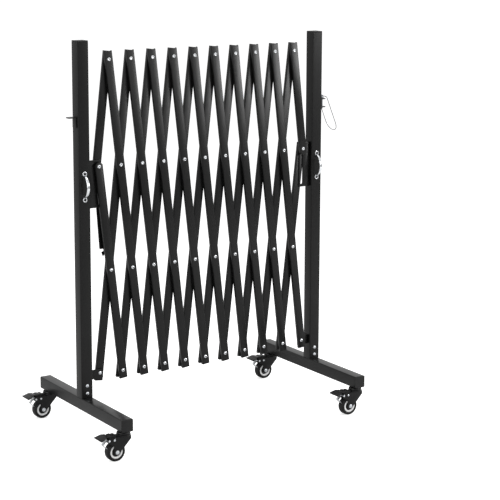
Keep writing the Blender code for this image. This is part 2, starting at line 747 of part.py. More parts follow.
def build_caster(name, x, y, finishes, root):
    """Makes one caster: fixed head, swivelling fork, wheel, tyre and brake pedal."""
    coat, rubber, rim = finishes
    stem = (x, y, 0)
    top = FOOT_BASE - GAP
    race_top = top - COLLAR_HEIGHT
    race_base = race_top - RACE_HEIGHT
    pin_base = CROWN_BASE - GAP
    flange_base = pin_base - KINGPIN_FLANGE_HEIGHT
    head = turned(
        (
            (0, top + STEM_LENGTH), (STEM_RADIUS, top + STEM_LENGTH), (STEM_RADIUS, top),
            (COLLAR_RADIUS, top), (COLLAR_RADIUS, race_top), (RACE_RADIUS - RACE_TAPER, race_top),
            (RACE_RADIUS, race_top - RACE_TAPER), (RACE_RADIUS, race_base),
            (KINGPIN_RADIUS, race_base), (KINGPIN_RADIUS, pin_base),
            (KINGPIN_FLANGE_RADIUS, pin_base), (KINGPIN_FLANGE_RADIUS, flange_base),
            (0, flange_base),
        ),
        "Z", stem, TURNED_SIDES,
    )
    named(f"{name}_caster_head", taken(head), coat, root)
    swivel = pivot(f"{name}_swivel", (x, y, CROWN_BASE), root)
    axle = (x - WHEEL_TRAIL, y, WHEEL_RADIUS)
    build_fork(f"{name}_fork", x, y, coat, swivel)
    spin = pivot(f"{name}_axle", axle, swivel)
    named(f"{name}_wheel", taken(wheel_solid(axle)), rim, spin)
    named(f"{name}_tyre", taken(tyre_solid(axle)), rubber, spin)
    build_pedal(f"{name}_brake_pedal", x, y, coat, swivel)


def wheel_solid(axle):
    """Returns the wheel's hub, disc and rim in one piece."""
    rim_radius = TYRE_INNER_RADIUS - GAP
    rim = TYRE_WIDTH / 2 - TYRE_SHOULDER
    disc = DISC_WIDTH / 2
    hub = HUB_WIDTH / 2
    bore = AXLE_RADIUS + GAP
    side = [
        (bore, hub), (HUB_RADIUS, hub), (HUB_RADIUS, disc), (DISC_RADIUS, disc),
        (DISC_RADIUS, rim), (rim_radius, rim),
    ]
    profile = [(radius, -along) for radius, along in reversed(side)]
    return turned(side + profile, "Y", axle, WHEEL_SIDES)


def tyre_solid(axle):
    """Returns the tyre, with chamfered shoulders."""
    half = TYRE_WIDTH / 2
    crown = TYRE_CROWN_WIDTH / 2
    side = [
        (TYRE_INNER_RADIUS, half - TYRE_SHOULDER), (TYRE_INNER_RADIUS + TYRE_SHOULDER, half),
        (WHEEL_RADIUS - TYRE_SHOULDER, half - TYRE_SHOULDER), (WHEEL_RADIUS, crown),
    ]
    profile = [(radius, -along) for radius, along in reversed(side)]
    return turned(side + profile, "Y", axle, WHEEL_SIDES)


def build_fork(name, x, y, coat, parent):
    """Makes the fork: crown, web, two cheeks, their cross pins and the fixed axle bolt."""
    bore = KINGPIN_RADIUS + GAP
    crown_top = CROWN_BASE + CROWN_HEIGHT
    crown = turned(
        (
            (bore, CROWN_BASE), (CROWN_RADIUS, CROWN_BASE), (CROWN_RADIUS, crown_top),
            (bore, crown_top),
        ),
        "Z", (x, y, 0), WHEEL_SIDES,
    )
    axle_x = x - WHEEL_TRAIL
    outline = [(x + WHEEL_TRAIL * a, CROWN_BASE * b) for a, b in CHEEK_FRONT_SHARES]
    outline += arc((axle_x, WHEEL_RADIUS), CHEEK_BOSS_RADIUS, 0, -math.pi)
    outline += [(x + WHEEL_TRAIL * a, CROWN_BASE * b) for a, b in CHEEK_TAIL_SHARES]
    outside = CHEEK_INSIDE + CHEEK_SHEET
    cheeks = [
        prism(outline, "Y", y + CHEEK_INSIDE, y + outside),
        prism(outline, "Y", y - outside, y - CHEEK_INSIDE),
    ]
    middle = CHEEK_INSIDE + CHEEK_SHEET / 2
    web = box(
        (x - CROWN_WEB_REACH, y - middle, CROWN_BASE),
        (x - CROWN_RADIUS / 2, y + middle, CROWN_BASE + CHEEK_SHEET),
    )
    head = outside + AXLE_HEAD_HEIGHT
    bolt = turned(
        (
            (0, -head), (AXLE_HEAD_RADIUS, -head), (AXLE_HEAD_RADIUS, -middle),
            (AXLE_RADIUS, -middle), (AXLE_RADIUS, middle),
            (AXLE_HEAD_RADIUS, middle), (AXLE_HEAD_RADIUS, head), (0, head),
        ),
        "Y", (axle_x, y, WHEEL_RADIUS), RIVET_SIDES,
    )
    pin_end = outside + SHOE_SHEET / 2
    pins = [
        rod(CHEEK_PIN_RADIUS, "Y", (x - back, y, CHEEK_PIN_HEIGHT), -pin_end, pin_end, RIVET_SIDES)
        for back in (PEDAL_PIVOT_BACK, PEDAL_STOP_BACK)
    ]
    named(name, taken(joined(crown, [web, bolt] + cheeks + pins)), coat, parent)


def build_pedal(name, x, y, coat, parent):
    """Makes the foot pedal with its brake shoe, pivoting on the fork's first cross pin."""
    place = (x - PEDAL_PIVOT_BACK, y, CHEEK_PIN_HEIGHT)
    inner = PEDAL_NECK_WIDTH / 2
    base = PEDAL_TOP_HEIGHT - PEDAL_SHEET
    tread = tread_solid(x, y)
    hub = rod(PEDAL_HUB_RADIUS, "Y", place, -inner, inner, TURNED_SIDES)
    arm = box(
        (place[0] - PEDAL_HUB_RADIUS, y - inner, CHEEK_PIN_HEIGHT),
        (place[0] + PEDAL_HUB_RADIUS, y + inner, base + PEDAL_SHEET / 2),
    )
    item = joined(tread, [arm, hub, shoe_solid(x, y)])
    reach = inner + OVERRUN
    bore = rod(CHEEK_PIN_RADIUS + GAP, "Y", place, -reach, reach, RIVET_SIDES)
    hinge = pivot(f"{name}_hinge", place, parent)
    named(name, taken(cut(item, [bore])), coat, hinge)


def tread_solid(x, y):
    """Returns the pedal's sheet: its side profile at full width, narrowed along the neck."""
    inner = PEDAL_NECK_WIDTH / 2
    wide = PEDAL_TIP_WIDTH / 2
    top = PEDAL_TOP_HEIGHT
    heel = x - PEDAL_HEEL_REACH
    flat_start, flat_end = (x - PEDAL_REACH * share for share in PEDAL_FLAT_SHARES)
    tip = x - PEDAL_REACH
    upper = [(heel, PEDAL_HEEL_HEIGHT), (flat_start, top), (flat_end, top), (tip, PEDAL_TIP_HEIGHT)]
    lower = [(along, height - PEDAL_SHEET) for along, height in reversed(upper)]
    sheet = prism(upper + lower, "Y", y - wide, y + wide)
    neck, shoulder = (x - PEDAL_REACH * share for share in PEDAL_WIDENING_SHARES)
    far = 2 * wide - inner
    sides = [
        prism(
            (
                (heel + OVERRUN, y + side * inner), (neck, y + side * inner),
                (2 * shoulder - neck, y + side * far), (heel + OVERRUN, y + side * far),
            ),
            "Z", PEDAL_TIP_HEIGHT - PEDAL_SHEET - OVERRUN, PEDAL_HEEL_HEIGHT + OVERRUN,
        )
        for side in (-1, 1)
    ]
    return cut(sheet, sides)


def shoe_solid(x, y):
    """Returns the bent strip that runs from under the pedal, round a knee, to the tyre."""
    half = SHOE_WIDTH / 2
    axle = Vector((x - WHEEL_TRAIL, WHEEL_RADIUS))
    contact = WHEEL_RADIUS + SHOE_CLEARANCE
    reach = Vector((-math.cos(SHOE_CONTACT_ANGLE), math.sin(SHOE_CONTACT_ANGLE)))
    along = Vector((math.sin(SHOE_CONTACT_ANGLE), math.cos(SHOE_CONTACT_ANGLE))) * SHOE_SHEET
    root = Vector((x - PEDAL_REACH * PEDAL_WIDENING_SHARES[0], PEDAL_TOP_HEIGHT - PEDAL_SHEET / 2))
    knee = Vector((x - SHOE_KNEE_REACH, SHOE_KNEE_HEIGHT))
    low = axle + reach * contact
    outline = (
        (root.x, root.y), (root.x - SHOE_SHEET, root.y), (knee.x, knee.y), (low.x, low.y),
        (low.x + along.x, low.y + along.y), (knee.x + SHOE_SHEET * 2, knee.y),
    )
    return prism(outline, "Y", y - half, y + half)


def main():
    """Builds the barrier."""
    clear_scene()
    coat = finish("black_powder_coat", (0.018, 0.018, 0.019), 0.38, 0.0)
    plastic = finish("black_plastic", (0.02, 0.02, 0.021), 0.5, 0.0)
    zinc = finish("zinc_plate", (0.62, 0.63, 0.64), 0.3, 1.0)
    chrome = finish("chrome_plate", (0.78, 0.79, 0.8), 0.12, 1.0)
    rubber = finish("black_rubber", (0.015, 0.015, 0.015), 0.75, 0.0)
    rim = finish("grey_nylon", (0.58, 0.58, 0.57), 0.45, 0.0)
    root = pivot("left_frame_root", (0, 0, 0))
    hinges = build_lattice(coat, root)
    right_root = pivot("right_frame_root", crossing(COLUMNS, ROWS), hinges[("front", COLUMNS - 3)])
    build_fold_hook(coat, hinges[("front", -1)])
    for side, x, direction, frame in (
        ("left", LEFT_POST_X, 1, root), ("right", RIGHT_POST_X, -1, right_root),
    ):
        build_post(side, x, coat, plastic, frame)
        build_foot(side, x, coat, frame)
        build_slot_bracket(f"{side}_slot_bracket", x, direction, coat, frame)
        build_pivot_bracket(f"{side}_pivot_bracket", x, direction, coat, frame)
        build_handle(side, x, chrome, frame)
        for end, way in (("front", -1), ("back", 1)):
            y = way * (FOOT_LENGTH / 2 - CASTER_INSET)
            build_caster(f"{side}_{end}", x, y, (coat, rubber, rim), frame)
    build_tongue(LEFT_POST_X, coat, root)
    build_clevis(RIGHT_POST_X, coat, right_root)
    build_lock_pin(RIGHT_POST_X, zinc, right_root)


main()
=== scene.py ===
"""Looks of an expandable safety barrier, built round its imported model.

Metres, +Z up, +X along the lattice, +Y to the back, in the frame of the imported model. Each
sub-assembly is a class that holds its sizes and makes, finishes and mounts its own pieces.
"""

import logging
import math
from collections.abc import Callable, Iterable, Sequence
from dataclasses import dataclass
from enum import Enum
from functools import lru_cache

import bmesh
import bpy
from bmesh.types import BMEdge, BMesh, BMFace, BMVert
from mathutils import Matrix, Vector


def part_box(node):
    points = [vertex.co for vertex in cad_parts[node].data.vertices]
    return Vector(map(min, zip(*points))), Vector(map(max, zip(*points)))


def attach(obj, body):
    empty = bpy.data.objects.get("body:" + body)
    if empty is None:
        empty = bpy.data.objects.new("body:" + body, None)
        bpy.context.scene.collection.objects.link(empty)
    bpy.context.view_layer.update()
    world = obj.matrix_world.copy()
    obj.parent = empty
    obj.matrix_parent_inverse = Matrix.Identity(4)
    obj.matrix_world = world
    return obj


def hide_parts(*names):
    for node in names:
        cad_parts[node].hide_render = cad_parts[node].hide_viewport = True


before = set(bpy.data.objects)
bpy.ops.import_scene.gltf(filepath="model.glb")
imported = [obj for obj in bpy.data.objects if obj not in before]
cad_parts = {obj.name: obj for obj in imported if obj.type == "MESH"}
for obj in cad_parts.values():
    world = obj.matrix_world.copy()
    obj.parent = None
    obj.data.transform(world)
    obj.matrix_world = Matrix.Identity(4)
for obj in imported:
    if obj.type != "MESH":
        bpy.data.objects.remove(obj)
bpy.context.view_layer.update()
log = logging.getLogger("barrier")

MERGE = 1e-6
SMOOTH_LIMIT = math.radians(32)
CREASE = math.radians(60)
BOX_SIGNS = ((-1, -1), (1, -1), (1, 1), (-1, 1))


class Axis(Enum):
    """The axis that an outline is extruded along or a profile is turned about."""

    X = "X"
    Y = "Y"
    Z = "Z"

    def place(self, a: float, b: float, along: float) -> Vector:
        """Puts a flat point into space.

        Args:
            a: The first coordinate in the outline's plane.
            b: The second coordinate in the outline's plane.
            along: The place along this axis.

        Returns:
            The point: (y, z) for X, (x, z) for Y and (x, y) for Z.
        """
        places = {Axis.X: (along, a, b), Axis.Y: (a, along, b), Axis.Z: (a, b, along)}
        return Vector(places[self])

    def from_z(self) -> Matrix:
        """Finds the turn that brings +Z onto this axis.

        Returns:
            The turn.
        """
        turns = {
            Axis.X: Matrix.Rotation(math.pi / 2, 4, "Y"),
            Axis.Y: Matrix.Rotation(-math.pi / 2, 4, "X"),
            Axis.Z: Matrix.Identity(4),
        }
        return turns[self]


class Slot(Enum):
    """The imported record's material slots."""

    COAT = "black_coat"
    PLASTIC = "black_plastic"
    CHROME = "chrome"
    ZINC = "zinc"
    TYRE = "tyre"
    WHEEL = "wheel"


class Side(Enum):
    """A post's side, with the direction from the post towards the lattice."""

    LEFT = 1
    RIGHT = -1

    @property
    def word(self) -> str:
        """Returns the side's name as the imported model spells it."""
        return self.name.lower()


class End(Enum):
    """An end of a foot, with the Y of the caster's stem there."""

    FRONT = -0.248
    BACK = 0.248


class Bracket(Enum):
    """A kind of bracket, with its lower end, its upper end and the heights of its screws."""

    SLOT = (0.71615, 0.86315, (0.745, 0.8465))
    PIVOT = (0.1805, 0.2105, (0.1955,))


@dataclass(frozen=True)
class Corner:
    """A corner of an outline or profile, and the radius that rounds it."""

    a: float
    b: float
    radius: float = 0.0


def linear(colour: str) -> tuple[float, float, float, float]:
    """Turns an sRGB hex colour to linear light.

    Args:
        colour: The colour as #RRGGBB.

    Returns:
        Red, green, blue and alpha in linear light.
    """
    shares = [int(colour[i : i + 2], 16) / 255 for i in (1, 3, 5)]
    red, green, blue = (s / 12.92 if s <= 0.04045 else ((s + 0.055) / 1.055) ** 2.4 for s in shares)
    return (red, green, blue, 1.0)


def per_metre(size_mm: float) -> float:
    """Returns the texture scale at which one feature is size_mm wide."""
    return 1000 / size_mm


def add_node(
    tree: bpy.types.NodeTree,
    kind: str,
    settings: dict[str, object] | None = None,
    links: dict[str, bpy.types.NodeSocket] | None = None,
) -> bpy.types.Node:
    """Adds a node with its settings and its links.

    Args:
        tree: The node tree that gets the node.
        kind: The node's type name.
        settings: Values for input sockets, or for the node's own options, by name.
        links: The output socket that each named input is linked to.

    Returns:
        The new node.
    """
    node = tree.nodes.new(kind)
    for name, value in (settings or {}).items():
        if name in node.inputs:
            node.inputs[name].default_value = value
        else:
            setattr(node, name, value)
    for name, source in (links or {}).items():
        tree.links.new(source, node.inputs[name])
    return node


@dataclass(frozen=True)
class Finish:
    """A surface: what it is made of, how it was made, and what that gives the eye.

    Attributes:
        name: The material's common name and how its surface was made.
        slot: The record's slot that it takes the place of.
        colour: The main colour as sRGB hex.
        dark: The colour of the surface's darker patches, as sRGB hex.
        patch_mm: The width of those patches.
        roughness: The lowest roughness.
        spread: How much rougher the dullest patches are.
        grain_mm: The width of one bump of the surface.
        grain_depth_mm: The height of the bumps.
        metallic: 1 for bare or plated metal.
        specular: The specular level, which a metal leaves at 0.5.
    """

    name: str
    slot: Slot
    colour: str
    dark: str
    patch_mm: float
    roughness: float
    spread: float
    grain_mm: float
    grain_depth_mm: float
    metallic: float = 0.0
    specular: float = 0.5

    def material(self) -> bpy.types.Material:
        """Returns this finish's material, which every piece of the finish shares."""
        return finish_material(self)

    def grain(self, tree: bpy.types.NodeTree, where: bpy.types.NodeSocket) -> bpy.types.NodeSocket:
        """Draws the height of the surface's bumps.

        Args:
            tree: The material's node tree.
            where: The coordinates to draw it on.

        Returns:
            The height, from 0 to 1.
        """
        settings = {"Scale": per_metre(self.grain_mm), "Detail": 2.0, "Roughness": 0.5}
        return add_node(tree, "ShaderNodeTexNoise", settings, {"Vector": where}).outputs["Fac"]


@dataclass(frozen=True)
class PowderCoat(Finish):
    """Sprayed and baked powder: a satin skin that flows into a soft, low orange peel."""

    def grain(self, tree: bpy.types.NodeTree, where: bpy.types.NodeSocket) -> bpy.types.NodeSocket:
        """Draws flat-topped cells, as orange peel has, in place of plain noise.

        Args:
            tree: The material's node tree.
            where: The coordinates to draw it on.

        Returns:
            The height, from 0 to about 1.
        """
        settings = {"Scale": per_metre(self.grain_mm), "feature": "SMOOTH_F1", "Smoothness": 0.9}
        cells = add_node(tree, "ShaderNodeTexVoronoi", settings, {"Vector": where})
        return cells.outputs["Distance"]


@dataclass(frozen=True)
class TurnedMetal(Finish):
    """Metal with the fine marks of a die or a lathe, drawn out along one direction."""

    stretch: tuple[float, float, float] = (1.0, 1.0, 1.0)

    def grain(self, tree: bpy.types.NodeTree, where: bpy.types.NodeSocket) -> bpy.types.NodeSocket:
        """Draws the bumps stretched along the direction of the marks.

        Args:
            tree: The material's node tree.
            where: The coordinates to draw it on.

        Returns:
            The height, from 0 to 1.
        """
        mapped = add_node(tree, "ShaderNodeMapping", {"Scale": self.stretch}, {"Vector": where})
        settings = {"Scale": per_metre(self.grain_mm), "Detail": 3.0, "Roughness": 0.6}
        marks = add_node(tree, "ShaderNodeTexNoise", settings, {"Vector": mapped.outputs["Vector"]})
        return marks.outputs["Fac"]


@lru_cache(maxsize=None)
def finish_material(finish: Finish) -> bpy.types.Material:
    """Builds a finish's node material once.

    Args:
        finish: The finish to build.

    Returns:
        The material, with patchy colour and roughness and a fine bump.
    """
    material = bpy.data.materials.new(finish.name)
    material.use_nodes = True
    tree = material.node_tree
    shader = tree.nodes["Principled BSDF"]
    shader.inputs["Metallic"].default_value = finish.metallic
    shader.inputs["Specular IOR Level"].default_value = finish.specular
    where = add_node(tree, "ShaderNodeTexCoord").outputs["Object"]
    noise = {"Scale": per_metre(finish.patch_mm), "Detail": 3.0}
    patches = add_node(tree, "ShaderNodeTexNoise", noise, {"Vector": where}).outputs["Fac"]
    ramp = add_node(tree, "ShaderNodeValToRGB", links={"Fac": patches})
    first, last = ramp.color_ramp.elements
    first.position, last.position = 0.35, 0.65
    first.color, last.color = linear(finish.dark), linear(finish.colour)
    tree.links.new(ramp.outputs["Color"], shader.inputs["Base Color"])
    dull, gloss = finish.roughness + finish.spread, finish.roughness
    levels = {"From Min": 0.3, "From Max": 0.7, "To Min": dull, "To Max": gloss}
    spread = add_node(tree, "ShaderNodeMapRange", levels, {"Value": patches})
    tree.links.new(spread.outputs["Result"], shader.inputs["Roughness"])
    depth = {"Strength": 1.0, "Distance": finish.grain_depth_mm / 1000}
    bump = add_node(tree, "ShaderNodeBump", depth, {"Height": finish.grain(tree, where)})
    tree.links.new(bump.outputs["Normal"], shader.inputs["Normal"])
    return material


# Steel tube and sheet, polyester powder sprayed and baked: a near-black satin skin that turns
# pale only where it is seen edge on. The peel is drawn at 4 mm, coarser than real, so it shows.
COAT = PowderCoat(
    "black_satin_powder_coat", Slot.COAT, "#121212", "#0E0E0E", 90, 0.27, 0.05, 4.0, 0.01, specular=0.19
)
# Stamped sheet of a caster under thin black paint: glossier, with softened die marks.
BLACK_PAINT = Finish(
    "black_painted_stamping", Slot.COAT, "#0E0E0E", "#0A0A0A", 30, 0.26, 0.08, 3.0, 0.02, specular=0.2
)
# Polypropylene caps and plugs moulded in a spark-eroded tool: a dull, finely grained black.
CAP_PLASTIC = Finish(
    "moulded_black_polypropylene", Slot.PLASTIC, "#161616", "#111111", 25, 0.5, 0.1, 1.2, 0.05, specular=0.25
)
# Glass-filled nylon moulded in a polished tool, for the pedal: black with a broad soft shine.
PEDAL_PLASTIC = Finish(
    "moulded_black_nylon", Slot.PLASTIC, "#0E0E0E", "#090909", 18, 0.34, 0.08, 1.5, 0.02, specular=0.2
)
# Pale grey nylon rim moulded smooth: even and matt, with a faint sheen.
RIM_NYLON = Finish(
    "moulded_pale_grey_nylon", Slot.WHEEL, "#E2E2E2", "#D8D8D8", 14, 0.36, 0.08, 1.0, 0.02, specular=0.45
)
# Thermoplastic rubber tyre, moulded: black, dull and slightly scuffed.
TYRE_RUBBER = Finish(
    "moulded_black_rubber", Slot.TYRE, "#101010", "#0B0B0B", 9, 0.45, 0.18, 0.8, 0.05, specular=0.2
)
# Zinc casting, polished and chrome plated: a mirror with the faint waves of hand polishing.
CHROME = Finish("polished_chrome_plate", Slot.CHROME, "#DADCDE", "#CFD2D5", 12, 0.05, 0.05, 7.0, 0.05, 1.0)
# Domed rivets pressed in a die and zinc plated: bright, with a slightly soft reflection.
RIVET_ZINC = TurnedMetal(
    "bright_zinc_plated_rivet", Slot.ZINC, "#D3D5D7", "#BFC2C5", 4, 0.22, 0.1, 0.8, 0.01, 1.0
)
# Turned and tumbled bolts and pins, zinc plated: fine rings along the bar, drawn 1 mm apart.
BOLT_ZINC = TurnedMetal(
    "zinc_plated_turned_steel", Slot.ZINC, "#CDCFD2", "#B4B8BC", 5, 0.24, 0.12, 1.0, 0.01, 1.0,
    stretch=(0.3, 0.3, 2.0),
)
# Strip drawn or rolled and galvanised: paler, with long marks and dull spangle.
STRIP_ZINC = TurnedMetal(
    "galvanised_steel_strip", Slot.ZINC, "#C9CBCC", "#A9ACAF", 6, 0.3, 0.14, 1.2, 0.01, 1.0,
    stretch=(1.0, 0.4, 0.4),
)
# Pins, wire and small screws with a dull nickel plate: mid grey, so they stand out against white.
DULL_NICKEL = TurnedMetal(
    "dull_nickel_plated_steel", Slot.ZINC, "#75777A", "#5C5E61", 4, 0.3, 0.1, 1.0, 0.01, 1.0,
    stretch=(0.4, 0.4, 1.5),
)
# Handle screws and rivet mandrels in near-black steel with a weak shine. The dark colour is painted shade for
# the shadow in the handle pads' wells and in the rivets' holes.
PAINTED_SHADE_STEEL = Finish("dark_steel_painted_shade", Slot.ZINC, "#2A2A2B", "#1C1C1D", 3, 0.36, 0.1, 0.6, 0.01, 1.0)


def new_verts(made: dict[str, list]) -> list[BMVert]:
    """Returns the vertices among what a bmesh operator made."""
    return [item for item in made["geom"] if isinstance(item, BMVert)]


def round_corner(shape: BMesh, vert: BMVert, radius: float, segments: int) -> None:
    """Rounds one corner of a loop or a line with an arc of the radius.

    Args:
        shape: The mesh that holds the corner.
        vert: The corner, with two edges.
        radius: The arc's radius.
        segments: The arc's segments.
    """
    one, other = (edge.other_vert(vert).co - vert.co for edge in vert.link_edges)
    offset = radius / math.tan(one.angle(other) / 2)
    bmesh.ops.bevel(
        shape,
        geom=[vert],
        offset=offset,
        offset_type="OFFSET",
        segments=segments,
        profile=0.5,
        affect="VERTICES",
        material=-1,
    )


def rounded_loop(shape: BMesh, corners: Sequence[Corner], axis: Axis, along: float, segments: int) -> None:
    """Adds a closed line with rounded corners.

    Args:
        shape: The mesh that gets the loop.
        corners: The corners in order.
        axis: The axis that the loop's plane is square to.
        along: The plane's place on the axis.
        segments: Segments for each rounded corner.
    """
    verts = [shape.verts.new(axis.place(corner.a, corner.b, along)) for corner in corners]
    for pair in zip(verts, verts[1:] + verts[:1]):
        shape.edges.new(pair)
    for vert, corner in zip(verts, corners):
        if corner.radius:
            round_corner(shape, vert, corner.radius, segments)
    bmesh.ops.remove_doubles(shape, verts=shape.verts, dist=MERGE)


def rectangle(
    wide: float, high: float, radius: float = 0.0, middle: Sequence[float] = (0, 0)
) -> list[Corner]:
    """Lists the corners of a rectangle.

    Args:
        wide: Half its size along the first coordinate.
        high: Half its size along the second coordinate.
        radius: The radius of its corners.
        middle: Its middle.

    Returns:
        Four corners in order.
    """
    return [Corner(middle[0] + i * wide, middle[1] + j * high, radius) for i, j in BOX_SIGNS]


def round_hole(a: float, b: float, radius: float, half_length: float = 0.0) -> list[Corner]:
    """Returns the corners of a round hole, or of a slot along the second coordinate."""
    return rectangle(radius, half_length + radius, radius, (a, b))


def square(half: float, radius: float, middle: float = 0.0) -> list[Corner]:
    """Returns the corners of a square, whose middle lies on the second coordinate."""
    return rectangle(half, half, radius, (0, middle))


def both_sides(half: Sequence[Corner]) -> list[Corner]:
    """Returns a profile's corners followed by their mirror images, for an even wheel part."""
    return [*half, *(Corner(corner.a, -corner.b, corner.radius) for corner in reversed(half))]


def plate(
    corners: Sequence[Corner],
    axis: Axis,
    low: float,
    high: float,
    holes: Iterable[Sequence[Corner]] = (),
    segments: int = 6,
) -> BMesh:
    """Makes a flat plate or a bar from an outline.

    Args:
        corners: The outline's corners in order.
        axis: The axis that it is extruded along.
        low: Where it starts on the axis.
        high: Where it ends on the axis.
        holes: Outlines of holes through it.
        segments: Segments for each rounded corner.

    Returns:
        The closed mesh.
    """
    shape = bmesh.new()
    rounded_loop(shape, corners, axis, low, segments)
    for hole in holes:
        rounded_loop(shape, hole, axis, low, segments)
    bmesh.ops.triangle_fill(shape, use_beauty=True, use_dissolve=True, edges=shape.edges[:])
    made = bmesh.ops.extrude_face_region(shape, geom=shape.faces[:])
    bmesh.ops.translate(shape, verts=new_verts(made), vec=axis.place(0, 0, high - low))
    bmesh.ops.recalc_face_normals(shape, faces=shape.faces)
    return shape


def square_tube(half: float, wall: float, radius: float, axis: Axis, low: float, high: float) -> BMesh:
    """Makes an open square tube with rounded corners about an axis.

    Args:
        half: Half the tube's outer width.
        wall: The wall's thickness.
        radius: The outer corner radius.
        axis: The tube's axis.
        low: Where it starts on the axis.
        high: Where it ends on the axis.

    Returns:
        The tube, about the origin.
    """
    inside = square(half - wall, radius - wall)
    return plate(square(half, radius), axis, low, high, [inside], segments=5)


def turned(
    profile: Sequence[Corner], axis: Axis = Axis.Z, centre: Sequence[float] = (0, 0, 0), steps: int = 24
) -> BMesh:
    """Spins a profile into a turned or, with six steps, a hexagonal piece.

    Args:
        profile: Corners of (radius, distance along the axis), rounded where they say so. A
            profile that starts off the axis is closed into a ring.
        axis: The axis to spin about.
        centre: A point on the axis that distances are measured from.
        steps: The number of steps round the axis.

    Returns:
        The closed mesh.
    """
    shape = bmesh.new()
    verts = [shape.verts.new((corner.a, 0, corner.b)) for corner in profile]
    pairs = list(zip(verts, verts[1:]))
    if profile[0].a > 0:
        pairs.append((verts[-1], verts[0]))
    for pair in pairs:
        shape.edges.new(pair)
    for vert, corner in zip(verts, profile):
        if corner.radius:
            round_corner(shape, vert, corner.radius, 3)
    bmesh.ops.spin(
        shape,
        geom=shape.verts[:] + shape.edges[:],
        cent=(0, 0, 0),
        axis=(0, 0, 1),
        angle=2 * math.pi,
        steps=steps,
        use_merge=True,
    )
    bmesh.ops.remove_doubles(shape, verts=shape.verts, dist=MERGE)
    bmesh.ops.recalc_face_normals(shape, faces=shape.faces)
    return moved(shape, Matrix.Translation(centre) @ axis.from_z())


def moved(shape: BMesh, matrix: Matrix) -> BMesh:
    """Moves a whole mesh.

    Args:
        shape: The mesh.
        matrix: The turn, move or mirror to give it.

    Returns:
        The same mesh.
    """
    bmesh.ops.transform(shape, matrix=matrix, verts=shape.verts)
    if matrix.determinant() < 0:
        bmesh.ops.recalc_face_normals(shape, faces=shape.faces)
    return shape


def softened(shape: BMesh, width: float, segments: int = 2, limit: float = math.radians(45)) -> BMesh:
    """Bevels every edge that is sharper than a limit.

    Args:
        shape: The mesh.
        width: The bevel's width.
        segments: The bevel's segments.
        limit: The face angle from which an edge counts as sharp.

    Returns:
        The same mesh.
    """
    edges = [edge for edge in shape.edges if edge.is_manifold and edge.calc_face_angle() > limit]
    bmesh.ops.bevel(
        shape,
        geom=edges,
        offset=width,
        offset_type="OFFSET",
        segments=segments,
        profile=0.5,
        affect="EDGES",
        material=-1,
        clamp_overlap=True,
    )
    return shape


def united(shapes: Iterable[BMesh]) -> BMesh:
    """Puts several meshes into one.

    Args:
        shapes: The meshes, which are used up.

    Returns:
        One mesh that holds them all.
    """
    whole = bmesh.new()
    for shape in shapes:
        mesh = bpy.data.meshes.new("part")
        shape.to_mesh(mesh)
        shape.free()
        whole.from_mesh(mesh)
        bpy.data.meshes.remove(mesh)
    return whole


def swept_face(
    shape: BMesh,
    chosen: Callable[[BMFace], bool],
    cent: Sequence[float],
    axis: Sequence[float],
    angle: float,
    run: Sequence[float],
    steps: int = 5,
) -> BMesh:
    """Bends sheet on from one of its edges and then runs it straight.

    Args:
        shape: The closed mesh of the flat part.
        chosen: Tells the face at the edge that the bend starts from.
        cent: A point on the bend's axis.
        axis: The bend's axis.
        angle: The bend's angle.
        run: The straight run after the bend.
        steps: Steps in the bend.

    Returns:
        The same mesh.
    """
    start = [face for face in shape.faces if chosen(face)]
    bend = bmesh.ops.spin(
        shape, geom=start, cent=cent, axis=axis, angle=angle, steps=steps, use_duplicate=False
    )
    bmesh.ops.delete(shape, geom=start, context="FACES_ONLY")
    last = [item for item in bend["geom_last"] if isinstance(item, BMFace)]
    made = bmesh.ops.extrude_face_region(shape, geom=last)
    bmesh.ops.translate(shape, verts=new_verts(made), vec=run)
    bmesh.ops.remove_doubles(shape, verts=shape.verts, dist=MERGE)
    bmesh.ops.recalc_face_normals(shape, faces=shape.faces)
    return shape


def facing(axis: int, value: float) -> Callable[[BMFace], bool]:
    """Returns a test for the face that lies in the plane at a value on an axis."""
    return lambda face: all(abs(vert.co[axis] - value) < MERGE for vert in face.verts)


def fitted(
    name: str, shape: BMesh, finish: Finish, body: str, nodes: Iterable[str] = ()
) -> bpy.types.Object:
    """Makes a finished piece and mounts it on its body.

    Args:
        name: The piece's name.
        shape: Its mesh, in place in the model's frame, which is used up.
        finish: What it is made of.
        body: The body that it moves with.
        nodes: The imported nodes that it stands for.

    Returns:
        The piece.
    """
    bmesh.ops.remove_doubles(shape, verts=shape.verts, dist=MERGE)
    mesh = bpy.data.meshes.new(name)
    shape.to_mesh(mesh)
    shape.free()
    mesh.materials.append(finish.material())
    mesh.shade_smooth()
    mesh.set_sharp_from_angle(angle=SMOOTH_LIMIT)
    piece = bpy.data.objects.new(name, mesh)
    bpy.context.scene.collection.objects.link(piece)
    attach(piece, body)
    if nodes:
        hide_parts(*nodes)
    log.info("%s: %d faces, %s, on %s", name, len(mesh.polygons), finish.name, body)
    return piece


def washer(radius: float, height: float, edge: float = 0.0002) -> BMesh:
    """Returns a plain washer, standing on the origin along +Z."""
    return turned([Corner(0, 0), Corner(radius, 0, edge), Corner(radius, height, edge), Corner(0, height)])


@dataclass(frozen=True)
class Nut:
    """A hexagon nut with a chamfered top, and the end of the bolt in it."""

    radius: float
    base: float
    top: float
    bolt: tuple[float, float]
    bolt_top: float
    chamfer: float = 0.001
    edge: float = 0.0004

    def shape(self) -> BMesh:
        """Makes the nut.

        Returns:
            The nut, standing along +Z above the origin.
        """
        foot, tip = self.bolt
        return turned(
            [
                Corner(0, self.base), Corner(self.radius, self.base),
                Corner(self.radius, self.top - self.edge, self.edge),
                Corner(self.radius - self.chamfer, self.top), Corner(foot, self.top),
                Corner(tip, self.bolt_top, self.edge / 2), Corner(0, self.bolt_top),
            ],
            steps=6,
        )


